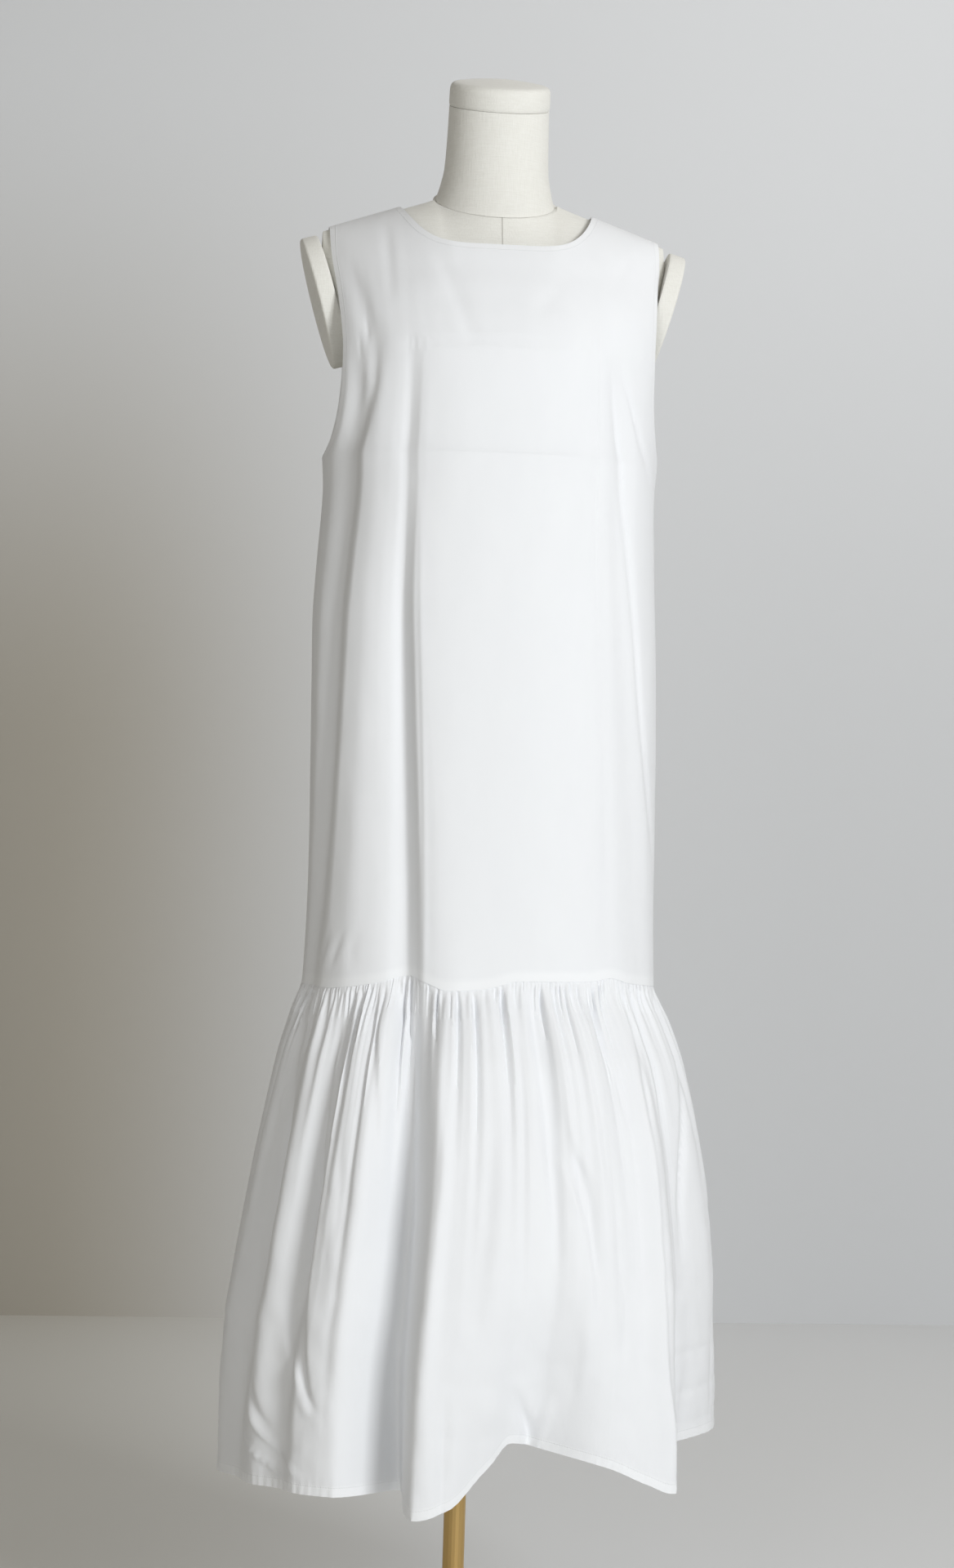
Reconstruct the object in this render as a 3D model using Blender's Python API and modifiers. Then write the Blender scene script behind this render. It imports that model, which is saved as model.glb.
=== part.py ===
"""White sleeveless dress with a gathered hem flounce, standing on a limbless dress form.

Metres, +Z up. The front faces -Y, the origin is the centre of the foot's underside, and the
dress form's pole runs up the Z axis. Angles run round that axis in degrees: 0 is the centre
front, +90 the side seam at +X, -90 the side seam at -X, and 180 the centre back.

Each cloth panel is a wall lofted through sections: an outer grid of points, the same grid moved
in by the cloth's thickness, and the rims between the two.
"""
import math

import bmesh
import bpy
import numpy as np

# Cloth
CLOTH = 0.0016              # thickness of the cloth wall
SEAM_GAP = 0.0003           # clearance between two pieces that meet
FLOUNCE_GAP = 0.0005        # and between the body and the flounce, whose top edge is gathered
SQUARENESS = 2.2            # exponent of the cross sections, where 2 is an ellipse
SHARP_ANGLE = math.radians(40.0)    # faces that meet at more than this are shaded apart
MERGE_DISTANCE = 0.00001            # points nearer than this are one
GRADIENT_STEP = 0.00001             # step over which the surface's slope is taken

# Heights of the dress
UNDERARM_HEIGHT = 1.212
NECK_POINT = (0.097, 1.466)         # distance from the centre, height
SHOULDER_TIP = 0.166                # distance from the centre
SHOULDER_SLOPE = 0.333
SHOULDER_ROUNDING = 0.11            # height over which the chest turns in to the shoulder seam
SHOULDER_FLAT = 0.05                # nearer the centre than this the ridge rises no more
NAPE_RISE = 0.038                   # the back carries on up towards the nape between the neck points
FRONT_NECK_HEIGHT = 1.4205
FRONT_NECK_POWER = 5.0              # a high power is a wide flat neckline with tight corners
BACK_NECK_HEIGHT = 1.452
BACK_NECK_POWER = 3.5

# Cross sections of the dress, above and below the underarm
DRESS_SECTIONS = (
    # height, half_width, front_depth, back_depth
    (0.205, 0.2475, 0.252, 0.245),
    (0.280, 0.2473, 0.249, 0.240),
    (0.380, 0.2415, 0.242, 0.232),
    (0.450, 0.2330, 0.228, 0.220),
    (0.530, 0.2210, 0.207, 0.200),
    (0.620, 0.2005, 0.176, 0.170),
    (0.655, 0.1885, 0.154, 0.148),
    (0.695, 0.1762, 0.134, 0.128),
    (0.800, 0.1735, 0.130, 0.124),
    (0.950, 0.1732, 0.128, 0.119),
    (1.040, 0.1725, 0.1275, 0.115),
    (1.110, 0.1695, 0.127, 0.113),
    (1.182, 0.1664, 0.1275, 0.111),
    (1.212, 0.1681, 0.128, 0.110),
    (1.310, 0.1725, 0.129, 0.110),
    (1.340, 0.175, 0.122, 0.106),
    (1.370, 0.176, 0.110, 0.102),
    (1.400, 0.176, 0.0985, 0.098),
    (1.480, 0.176, 0.0860, 0.090),
)

# The sections' middles: the skirt hangs to the right of the pole
DRIFT = (
    # height, middle
    (0.290, 0.0045), (0.365, 0.0053), (0.401, 0.0079), (0.441, 0.0093), (0.522, 0.0109),
    (0.563, 0.0109), (0.640, 0.0090), (0.692, 0.0068), (0.800, 0.0066), (0.900, 0.0053),
    (1.000, 0.0033), (1.080, 0.0014), (1.200, 0.0024), (1.300, 0.0020), (1.360, 0.0008),
    (1.400, 0.0000),
)

# Half widths of the armhole edges, front and back, above the underarm
ARMHOLES = (
    # height, front_edge, back_edge
    (1.212, 0.1681, 0.1681),
    (1.240, 0.1597, 0.1560),
    (1.280, 0.1552, 0.1480),
    (1.314, 0.1550, 0.1455),
    (1.355, 0.1577, 0.1490),
    (1.383, 0.1606, 0.1550),
    (1.418, 0.1650, 0.1635),
    (1.443, 0.1660, 0.1660),
)

# Height of the flounce seam round the dress, which rides up and down with the folds
FLOUNCE_SEAM = (
    # angle, height
    (-180, 0.6970), (-150, 0.6940), (-120, 0.6985), (-90, 0.6890), (-59, 0.6890), (-47, 0.6916),
    (-37, 0.6962), (-24, 0.7045), (-17, 0.6980), (-11, 0.6920), (0, 0.6945), (8, 0.7025),
    (32, 0.7030), (42, 0.7060), (52, 0.7005), (90, 0.6945), (120, 0.6990), (150, 0.7030),
    (180, 0.6970),
)
SEAM_LEVEL = sum(row[1] for row in FLOUNCE_SEAM) / len(FLOUNCE_SEAM)

# Height of the hem round the dress: it rises in an arch right of the centre front
HEM = (
    # angle, height
    (-180, 0.2160), (-148, 0.2110), (-120, 0.2200), (-90, 0.2110), (-70, 0.2150), (-50, 0.2190),
    (-33, 0.2200), (-22, 0.2200), (-14, 0.2070), (-7, 0.2160), (0, 0.2480), (5, 0.2740),
    (12, 0.2680), (28, 0.2500), (37, 0.2330), (43, 0.2230), (46, 0.2255), (51, 0.2470), (57, 0.2590),
    (70, 0.2600), (90, 0.2560), (105, 0.2460), (125, 0.2260), (150, 0.2120), (180, 0.2160),
)
HEM_LEVEL = sum(row[1] for row in HEM) / len(HEM)

# Folds of the front and back bodies, from side seam to side seam. Offsets are outward, at the
# underarm, halfway down and at the flounce seam. The columns are those up to the next row.
FRONT_BODY_FOLDS = (
    # top_angle, seam_angle, top_offset, middle_offset, seam_offset, columns
    (-90.0, -90.0, 0.000, 0.000, 0.000, 3),
    (-75.0, -84.5, 0.0000, 0.0005, 0.0005, 2),
    (-60.5, -76.0, -0.0062, -0.0092, -0.0040, 2),
    (-50.0, -62.5, 0.0020, 0.0036, 0.0026, 2),
    (-45.0, -52.0, 0.0020, 0.0036, 0.0028, 1),
    (-39.0, -42.0, 0.0008, 0.0002, -0.0010, 1),
    (-35.0, -33.5, -0.0008, -0.0050, -0.0062, 1),
    (-31.6, -26.0, -0.0030, -0.0122, -0.0140, 1),
    (-29.0, -22.0, -0.0012, -0.0062, -0.0080, 1),
    (-26.5, -18.3, 0.0008, 0.0012, 0.0000, 2),
    (-23.5, -10.0, 0.0012, 0.0034, 0.0025, 3),
    (0.0, 0.0, 0.000, 0.002, 0.000, 3),
    (27.0, 31.0, 0.000, 0.002, 0.000, 1),
    (30.2, 35.0, 0.000, 0.002, 0.000, 1),
    (32.0, 37.5, 0.000, 0.002, 0.000, 1),
    (33.2, 39.2, 0.001, 0.002, 0.000, 1),
    (33.6, 40.0, 0.001, 0.002, 0.000, 2),
    (43.0, 58.0, -0.003, -0.002, -0.001, 2),
    (54.0, 70.0, 0.001, 0.001, 0.001, 3),
    (90.0, 90.0, 0.000, 0.000, 0.000, 0),
)
BACK_BODY_FOLDS = (
    # top_angle, seam_angle, top_offset, middle_offset, seam_offset, columns
    (90.0, 90.0, 0.000, 0.000, 0.000, 3),
    (121.0, 124.0, 0.002, 0.002, 0.001, 2),
    (133.0, 132.0, -0.003, -0.007, -0.010, 2),
    (146.4, 143.0, 0.001, 0.002, 0.002, 3),
    (172.0, 176.0, 0.000, 0.001, 0.002, 2),
    (190.0, 192.0, -0.003, -0.006, -0.009, 2),
    (200.0, 203.0, 0.001, 0.002, 0.002, 2),
    (213.6, 215.0, 0.001, 0.001, 0.001, 2),
    (233.0, 228.0, -0.005, -0.007, -0.004, 3),
    (270.0, 270.0, 0.000, 0.000, 0.000, 0),
)
FOLD_START = 1.330          # the body's folds begin at this height
FOLD_MIDDLE = 0.950
BODY_ROWS = 9               # rows of the grid from the flounce seam to the underarm
BODICE_ROWS = 11            # and from there to the shoulder
SHOULDER_ROWS = 4           # the last of those is parted again where the cloth turns over

# Folds of the flounce. Offsets are outward, just under the gathers, halfway down and at the hem.
# The columns are those up to the next row; every column carries one gather at the seam.
FRONT_FLOUNCE_FOLDS = (
    # seam_angle, hem_angle, top_offset, middle_offset, hem_offset, columns
    (-90.0, -90.0, 0.000, 0.000, -0.010, 4),
    (-77.0, -80.0, 0.002, 0.004, 0.002, 3),
    (-66.0, -70.0, -0.004, -0.014, -0.006, 3),
    (-57.0, -59.0, 0.003, 0.006, 0.003, 3),
    (-47.0, -50.0, -0.005, -0.013, -0.004, 2),
    (-41.0, -44.0, 0.002, 0.005, 0.003, 3),
    (-33.0, -34.0, 0.003, 0.004, -0.004, 4),
    (-22.5, -23.0, -0.016, -0.042, -0.072, 4),
    (-10.0, -14.0, 0.004, 0.006, 0.004, 4),
    (2.0, 0.0, 0.002, 0.004, -0.026, 4),
    (13.0, 11.0, -0.004, -0.003, -0.052, 4),
    (24.0, 25.0, 0.003, 0.003, -0.020, 4),
    (35.0, 35.0, -0.003, -0.004, -0.003, 3),
    (43.0, 43.5, 0.003, 0.006, 0.010, 4),
    (54.0, 53.0, -0.004, -0.011, -0.024, 4),
    (72.0, 75.0, 0.002, 0.004, 0.000, 4),
    (90.0, 90.0, 0.000, 0.000, 0.008, 0),
)
BACK_FLOUNCE_FOLDS = (
    # seam_angle, hem_angle, top_offset, middle_offset, hem_offset, columns
    (90.0, 90.0, 0.000, 0.000, 0.008, 5),
    (109.0, 108.0, 0.003, 0.006, 0.014, 4),
    (124.0, 123.0, -0.007, -0.020, -0.042, 4),
    (139.0, 139.0, 0.003, 0.006, 0.010, 4),
    (154.0, 156.0, -0.005, -0.012, -0.026, 5),
    (172.0, 173.0, 0.003, 0.005, 0.006, 5),
    (189.0, 190.0, -0.008, -0.024, -0.046, 4),
    (203.0, 204.0, 0.003, 0.006, 0.008, 5),
    (221.0, 221.0, -0.004, -0.010, -0.020, 4),
    (236.0, 235.0, 0.003, 0.005, 0.006, 4),
    (251.0, 252.0, -0.005, -0.012, -0.018, 5),
    (270.0, 270.0, 0.000, 0.000, -0.010, 0),
)
FLOUNCE_MIDDLE = 0.5        # where the middle offset holds, as a share of the flounce's height
FLOUNCE_TOP = 0.12          # and the top offset
GATHER_HEIGHT = 0.0014      # half the rise of one gather at the seam
GATHER_LENGTH = 0.022       # the gathers die away over this length
TUCK_HEIGHT = 0.0022        # every second gather runs on as a longer tuck
TUCK_START = 0.018
TUCK_LENGTH = 0.110
FLOUNCE_ROWS = (0.0, 0.022, 0.055, 0.11, 0.19, 0.30, 0.43, 0.57, 0.72, 0.86, 1.0)
FINE_ROWS = 3               # so many of the rows, from the seam down, have two columns a gather

# Dress form: torso
TORSO_SECTIONS = (
    # height, half_width, front_depth, back_depth
    (0.780, 0.150, 0.100, 0.105),
    (0.880, 0.157, 0.105, 0.110),
    (1.000, 0.133, 0.092, 0.094),
    (1.080, 0.120, 0.088, 0.084),
    (1.180, 0.134, 0.098, 0.086),
    (1.250, 0.139, 0.110, 0.090),
    (1.290, 0.139, 0.115, 0.094),
    (1.308, 0.140, 0.115, 0.095),
    (1.330, 0.157, 0.109, 0.095),
    (1.370, 0.172, 0.098, 0.092),
    (1.410, 0.175, 0.084, 0.087),
    (1.480, 0.176, 0.070, 0.076),
)
ARM_BOTTOM = (0.142, 1.308)         # the flat arm opening: distance from the centre, height
ARM_LEAN = 0.29                     # its distance from the centre grows so much for each metre up
TORSO_SHOULDER_TIP = 0.172
SHOULDER_CLEARANCE = 0.0011         # air between the torso's shoulder and the cloth on it
NECK_RING = (0.062, 0.060)          # half width and half depth of the neck's base
NECK_RING_LEAN = 0.41               # the ring falls so much for each metre forward
NECK_COLUMNS = 6            # columns of the torso from its centre to the side of the neck ring
SHOULDER_COLUMNS = 6        # and from there to the side
TORSO_ROWS = (0.780, 0.850, 0.920, 1.000, 1.080, 1.160, 1.230, 1.290)
TORSO_CHEST_ROWS = 12
TORSO_BOTTOM = TORSO_ROWS[0]

# Dress form: neck and cap, as rings up the neck
NECK_RINGS = (
    # rise, half_width, half_depth, centre_y, lean
    (0.000, 0.0596, 0.0576, 0.000, 0.41),
    (0.012, 0.0560, 0.0555, -0.002, 0.39),
    (0.032, 0.0522, 0.0520, -0.005, 0.36),
    (0.062, 0.0508, 0.0505, -0.009, 0.33),
    (0.093, 0.0500, 0.0500, -0.012, 0.30),
)
CAP_RINGS = (
    # rise, scale
    (0.000, 1.00),
    (0.011, 1.00),
    (0.017, 0.965),
    (0.021, 0.89),
    (0.0245, 0.70),
    (0.0268, 0.38),
)
CAP_TOP = 0.0275
NECK_SIDES = 28

# Dress form: arm plates, pole and foot
PLATE_HALF_HEIGHT = 0.0665
PLATE_HALF_DEPTH = 0.0440
PLATE_CENTRE_HEIGHT = 1.370
PLATE_RINGS = (
    # rise, scale
    (0.0000, 0.960),
    (0.0030, 1.000),
    (0.0085, 1.000),
    (0.0120, 0.940),
    (0.0155, 0.760),
    (0.0175, 0.450),
)
PLATE_CROWN = 0.0182
PLATE_SIDES = 24
POLE_RADIUS = 0.0109
POLE_SIDES = 20
FOOT_PROFILE = (
    # radius, height, top to bottom down the outer side
    (0.0, 0.0300),
    (0.0200, 0.0300),
    (0.0240, 0.0220),
    (0.0900, 0.0170),
    (0.1430, 0.0130),
    (0.1490, 0.0100),
    (0.1500, 0.0060),
    (0.1500, 0.0),
    (0.0, 0.0),
)
FOOT_SIDES = 48
FOOT_TOP = FOOT_PROFILE[0][1]


def clear_scene():
    """Remove every object of the opened scene."""
    for old in list(bpy.data.objects):
        bpy.data.objects.remove(old, do_unlink=True)


def make_material(name, colour, roughness, metallic=0.0):
    """A Principled BSDF with the piece's colour, roughness and metallic value."""
    material = bpy.data.materials.new(name)
    material.use_nodes = True
    shader = material.node_tree.nodes["Principled BSDF"]
    shader.inputs["Base Color"].default_value = (*colour, 1.0)
    shader.inputs["Roughness"].default_value = roughness
    shader.inputs["Metallic"].default_value = metallic
    return material


def curve_through(where, places, values):
    """A smooth curve through the given values that never swings past them.

    Each stretch is a cubic; its slope at a place is the harmonic mean of the slopes on the two
    sides, or zero where they differ in sign.
    """
    places = np.asarray(places, dtype=float)
    values = np.asarray(values, dtype=float)
    where = np.clip(where, places[0], places[-1])
    step = np.diff(places)
    slope = np.diff(values) / step
    before, after = slope[:-1], slope[1:]
    same_sign = before * after > 0
    safe = np.where(same_sign, before + after, 1.0)
    inner = np.where(same_sign, 2.0 * before * after / safe, 0.0)
    tangent = np.concatenate(([slope[0]], inner, [slope[-1]]))
    index = np.clip(np.searchsorted(places, where, side="right") - 1, 0, len(step) - 1)
    share = (where - places[index]) / step[index]
    rise = values[index + 1] - values[index]
    start = tangent[index] * step[index]
    end = tangent[index + 1] * step[index]
    return (values[index] + share * start
            + share ** 2 * (3.0 * rise - 2.0 * start - end)
            + share ** 3 * (start + end - 2.0 * rise))


def column(table, place):
    """One named column of a table as an array."""
    return np.array([row[place] for row in table], dtype=float)


def table_at(table, place, heights):
    """A column of a table of sections, read at the given heights."""
    return curve_through(heights, column(table, 0), column(table, place))


def round_table(table, angles):
    """A table of angle and height round the dress, read at the given angles."""
    turned = (np.asarray(angles) + 180.0) % 360.0 - 180.0
    return curve_through(turned, column(table, 0), column(table, 1))


def signed_power(values, power):
    """A power that keeps the sign of each value."""
    return np.sign(values) * np.abs(values) ** power


def normals(points):
    """Outward unit normals of a grid of points, from the slopes along its rows and columns."""
    along = np.gradient(points, axis=1)
    up = np.gradient(points, axis=0)
    normal = np.cross(along, up)
    return normal / np.linalg.norm(normal, axis=2, keepdims=True)


def flatten_normals(normal, rows, columns):
    """Turn the normals of some rows and columns square to the Y axis, so that two panels that
    meet there have walls with parallel rims."""
    part = normal[rows, columns]
    part[..., 1] = 0.0
    normal[rows, columns] = part / np.linalg.norm(part, axis=-1, keepdims=True)


def chest_depth(x, heights, half_width, depth, ridge):
    """Distance of the chest or back from the side plane: a superellipse in plan, times a
    quarter circle that brings it to nothing at the shoulder ridge."""
    across = np.clip(np.abs(x) / half_width, 0.0, 1.0)
    plan = (1.0 - across ** SQUARENESS) ** (1.0 / SQUARENESS)
    share = np.clip((ridge - heights) / SHOULDER_ROUNDING, 0.0, 1.0)
    return depth * plan * np.sqrt(1.0 - (1.0 - share) ** 2)


def shoulder_ridge(x, nape=0.0):
    """Height of the dress's shoulder line at a distance from the centre. Between the neck points
    it is the line that the chest or back would reach if it went on up."""
    outward = np.maximum(np.abs(x), SHOULDER_FLAT) - NECK_POINT[0]
    inward = np.clip(1.0 - (x / NECK_POINT[0]) ** 2, 0.0, 1.0)
    return NECK_POINT[1] - SHOULDER_SLOPE * outward + nape * inward


def dress_depth(x, heights, front):
    """Distance of the dress's unfolded surface from the side plane."""
    depth_column = 2 if front else 3
    return chest_depth(x - table_at(DRIFT, 1, heights), heights,
                       table_at(DRESS_SECTIONS, 1, heights),
                       table_at(DRESS_SECTIONS, depth_column, heights),
                       shoulder_ridge(x, 0.0 if front else NAPE_RISE))


def drift_angles(angles, heights):
    """Angle by which a point on a section seems turned from the pole, for the section's drift."""
    drift = table_at(DRIFT, 1, heights) / table_at(DRESS_SECTIONS, 1, heights)
    return np.degrees(drift * np.cos(np.radians(angles)))


def hung_aside(folds, first_height, second_height):
    """The folds' table with its angles turned back at its two levels, so that each fold stays at
    its angle from the pole while the sections drift."""
    rows = []
    for first, second, *rest in folds:
        rows.append((first - float(drift_angles(first, first_height)),
                     second - float(drift_angles(second, second_height)), *rest))
    return rows


def section_points(heights, turn, depth_column):
    """Points of the dress's unfolded cross sections at the given heights and angles."""
    across = signed_power(np.sin(turn), 2.0 / SQUARENESS)
    ahead = signed_power(np.cos(turn), 2.0 / SQUARENESS)
    x = table_at(DRESS_SECTIONS, 1, heights) * across + table_at(DRIFT, 1, heights)
    y = -table_at(DRESS_SECTIONS, depth_column, heights) * ahead
    return np.stack([x, y, heights], axis=1)


def dress_normals(points, front):
    """Outward unit normals of the unfolded dress: the gradient of y squared less the depth
    squared, which also holds along the side seams and the shoulder."""
    x, y, height = points[..., 0], points[..., 1], points[..., 2]
    step = GRADIENT_STEP

    def squared(x_now, height_now):
        return dress_depth(x_now, height_now, front) ** 2

    across = (squared(x + step, height) - squared(x - step, height)) / (2.0 * step)
    upward = (squared(x, height + step) - squared(x, height - step)) / (2.0 * step)
    normal = np.stack([-across, 2.0 * y, -upward], axis=-1)
    return normal / np.linalg.norm(normal, axis=-1, keepdims=True)


def neckline(x, lowest, power):
    """Height of the neckline: level at the centre, steep at the neck points."""
    share = np.clip(np.abs(x) / NECK_POINT[0], 0.0, 1.0)
    return lowest + (NECK_POINT[1] - lowest) * share ** power


def spread_columns(table, first, second, subdivide=1):
    """Angles of the grid's columns at two levels: each fold of the table has a column of its
    own, and the columns between two folds are evenly spaced."""
    counts = [int(row[5]) * subdivide for row in table]
    level = []
    for place in (first, second):
        angles = []
        for row, following, count in zip(table, table[1:], counts):
            angles.extend(np.linspace(row[place], following[place], count, endpoint=False))
        angles.append(table[-1][place])
        level.append(np.array(angles))
    return level


def fold_offsets(table, shares, angles_now):
    """Outward offset of the folds on every row.

    shares has a row's weights for the table's three offsets, and angles_now the row's place
    between the two angles of each fold. Each row is a smooth curve through its folds.
    """
    angles = [column(table, 0), column(table, 1)]
    offsets = [column(table, place) for place in (2, 3, 4)]
    rows = []
    for weights, (drift, columns_now) in zip(shares, angles_now):
        places = (1.0 - drift) * angles[0] + drift * angles[1]
        values = sum(weight * offset for weight, offset in zip(weights, offsets))
        rows.append(curve_through(columns_now, places, values))
    return np.array(rows)


def wall_mesh(name, outer_rows, inner_rows, material, collection):
    """A closed wall between an outer and an inner set of rows of points.

    Neighbouring rows have the same number of points, or the upper has twice the columns of the
    lower, and then three triangles fill each of the lower one's columns.
    """
    bm = bmesh.new()
    skins = []
    for rows in (outer_rows, inner_rows):
        skins.append([[bm.verts.new(point) for point in row] for row in rows])
    for skin in skins:
        for row, following in zip(skin, skin[1:]):
            if len(row) == len(following):
                for k in range(len(row) - 1):
                    bm.faces.new((row[k], following[k], following[k + 1], row[k + 1]))
            else:
                for k in range(len(following) - 1):
                    bm.faces.new((row[2 * k], following[k], row[2 * k + 1]))
                    bm.faces.new((row[2 * k + 1], following[k], following[k + 1]))
                    bm.faces.new((row[2 * k + 1], following[k + 1], row[2 * k + 2]))
    outer, inner = skins
    borders = [(outer[0], inner[0]), (outer[-1], inner[-1])]
    for side in (0, -1):
        borders.append(([row[side] for row in outer], [row[side] for row in inner]))
    for outer_edge, inner_edge in borders:
        for k in range(len(outer_edge) - 1):
            bm.faces.new((outer_edge[k], outer_edge[k + 1], inner_edge[k + 1], inner_edge[k]))
    return finish_mesh(bm, name, material, collection)


def finish_mesh(bm, name, material, collection):
    """Turn the mesh's faces outward and make an object of it with smooth shading."""
    bmesh.ops.recalc_face_normals(bm, faces=bm.faces)
    mesh = bpy.data.meshes.new(name)
    bm.to_mesh(mesh)
    bm.free()
    mesh.shade_smooth()
    mesh.set_sharp_from_angle(angle=SHARP_ANGLE)
    mesh.materials.append(material)
    thing = bpy.data.objects.new(name, mesh)
    collection.objects.link(thing)
    return thing


def bodice_shares():
    """Rows of the bodice as shares of its height: close together at the underarm and the top."""
    turn = np.arange(BODICE_ROWS + 1) * math.pi / BODICE_ROWS
    shares = list(0.5 - 0.5 * np.cos(turn))
    last = 1.0 - shares[-2]
    parted = [1.0 - last * (1.0 - k / SHOULDER_ROWS) ** 2 for k in range(1, SHOULDER_ROWS)]
    return shares[:-1] + parted + [1.0]


def body_points(folds, front):
    """The outer surface of the front or back body, its normals before the folds, and the
    angles of its columns at the flounce seam.

    Rows run from the flounce seam up to the shoulder and neckline, columns from one side seam
    to the other. Above the underarm the columns keep their share of the width between the two
    armhole edges, and the rows rise by equal shares of each column's own height.
    """
    folds = hung_aside(folds, UNDERARM_HEIGHT, SEAM_LEVEL)
    top_angles, seam_angles = spread_columns(folds, 0, 1)
    depth_column = 2 if front else 3
    edge_column = 1 if front else 2
    facing = -1.0 if front else 1.0
    lowest = FRONT_NECK_HEIGHT if front else BACK_NECK_HEIGHT
    power = FRONT_NECK_POWER if front else BACK_NECK_POWER
    rows, angles_now = [], []
    seam = round_table(FLOUNCE_SEAM, seam_angles + drift_angles(seam_angles, SEAM_LEVEL))
    for k in range(BODY_ROWS):
        share = k / BODY_ROWS
        lean = 1.0 - (1.0 - share) ** 1.5
        angles = seam_angles + (top_angles - seam_angles) * lean
        height = seam + (UNDERARM_HEIGHT - seam) * share
        turn = np.radians(angles)
        rows.append(section_points(height, turn, depth_column))
        angles_now.append((1.0 - lean, angles))
    spread = signed_power(np.sin(np.radians(top_angles)), 2.0 / SQUARENESS)
    top_x = spread * SHOULDER_TIP
    in_neckline = np.abs(top_x) < NECK_POINT[0] - MERGE_DISTANCE
    top = np.where(in_neckline, neckline(top_x, lowest, power), shoulder_ridge(top_x))
    tip_height = shoulder_ridge(SHOULDER_TIP)
    for share in bodice_shares():
        edge_height = UNDERARM_HEIGHT + (tip_height - UNDERARM_HEIGHT) * share
        height = UNDERARM_HEIGHT + (top - UNDERARM_HEIGHT) * share
        edge = table_at(ARMHOLES, edge_column, edge_height)
        inner_width = (1.0 - spread ** 2) * (1.0 - share ** 2) * (ARMHOLES[0][1] - edge)
        x = spread * (edge + inner_width) + table_at(DRIFT, 1, height)
        rows.append(np.stack([x, facing * dress_depth(x, height, front), height], axis=1))
        angles_now.append((0.0, top_angles))
    base = np.array(rows)
    normal = dress_normals(base, front)
    heights = base[:, :, 2].mean(axis=1)
    levels = (SEAM_LEVEL, FOLD_MIDDLE, UNDERARM_HEIGHT, FOLD_START)
    shares = []
    for height in heights:
        shares.append([curve_through(height, levels, weights) for weights in
                       ((0.0, 0.0, 1.0, 0.0), (0.0, 1.0, 0.0, 0.0), (1.0, 0.0, 0.0, 0.0))])
    offsets = fold_offsets(folds, shares, angles_now)
    outer = base + normal * offsets[:, :, None]
    outer[0, :, 2] = seam
    return outer, normal, seam_angles


def build_body(name, folds, front, material, collection):
    """The front or back body, from the shoulder seams to the flounce seam."""
    outer, normal, _ = body_points(folds, front)
    inner = outer - CLOTH * normal
    inner[0, :, 2] = outer[0, :, 2]
    shift = -SEAM_GAP / 2.0 if front else SEAM_GAP / 2.0
    for skin in (outer, inner):
        on_seam = np.abs(skin[:, :, 1]) < SEAM_GAP
        skin[:, :, 1] = np.where(on_seam, shift, skin[:, :, 1])
    return wall_mesh(name, list(outer[::-1]), list(inner[::-1]), material, collection)


def flounce_points(folds, body_folds, front):
    """The surface of half the flounce with its folds, and its normals before them, on a grid with
    two columns for each gather: its crest and the dip beside it.

    The top edge follows the straight stretches of the body's lower edge, and what that edge
    departs from the plain cross section dies away below it.
    """
    folds = hung_aside(folds, SEAM_LEVEL, HEM_LEVEL)
    seam_angles, hem_angles = spread_columns(folds, 0, 1, subdivide=2)
    depth_column = 2 if front else 3
    body, _, body_angles = body_points(body_folds, front)
    edge = np.stack([np.interp(seam_angles, body_angles, body[0, :, axis]) for axis in range(3)], axis=1)
    edge[:, 2] -= FLOUNCE_GAP
    hem = round_table(HEM, hem_angles + drift_angles(hem_angles, HEM_LEVEL))
    rows, angles_now, weights = [], [], []
    levels = (0.0, FLOUNCE_TOP, FLOUNCE_MIDDLE, 1.0)
    for share in FLOUNCE_ROWS:
        angles = seam_angles + (hem_angles - seam_angles) * share
        height = edge[:, 2] + (hem - edge[:, 2]) * share
        turn = np.radians(angles)
        rows.append(section_points(height, turn, depth_column))
        angles_now.append((share, angles))
        weights.append([curve_through(share, levels, values) for values in
                        ((0.0, 1.0, 0.0, 0.0), (0.0, 0.0, 1.0, 0.0), (0.0, 0.0, 0.0, 1.0))])
    base = np.array(rows)
    normal = dress_normals(base, front)
    offsets = fold_offsets(folds, weights, angles_now)
    fade = 1.0 - curve_through(np.array(FLOUNCE_ROWS), (0.0, FLOUNCE_TOP, 1.0), (0.0, 1.0, 1.0))
    carried = fade[:, None, None] * (edge - base[0])
    return base + normal * offsets[:, :, None] + carried, normal


def side_normals(points):
    """Normals of a grid whose rows run downwards, square to the Y axis at the side seams."""
    normal = normals(points[::-1])[::-1]
    flatten_normals(normal, slice(None), slice(0, 1))
    flatten_normals(normal, slice(None), slice(-1, None))
    return normal


def gather_offsets(shares, drop, columns):
    """Rise of the small gathers and of the longer tucks below them, row by row.

    A gather swings between a crest and a dip from one column to the next and dies away like a
    bell curve. A tuck takes two gathers, grows below the seam and dies away slowly.
    """
    down = shares * drop
    index = np.arange(columns)
    gather = np.where(index % 2 == 1, 1.0, -1.0)
    tuck = np.where(index % 4 == 2, 1.0, np.where(index % 4 == 0, -1.0, 0.0))
    gather_size = GATHER_HEIGHT * np.exp(-(down / GATHER_LENGTH) ** 2)
    growing = np.minimum(down / TUCK_START, 1.0)
    tuck_size = TUCK_HEIGHT * growing * np.exp(-down / TUCK_LENGTH)
    small = gather_size[:, None] * gather + tuck_size[:, None] * tuck
    small[:, [0, -1]] = 0.0
    return small


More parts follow.
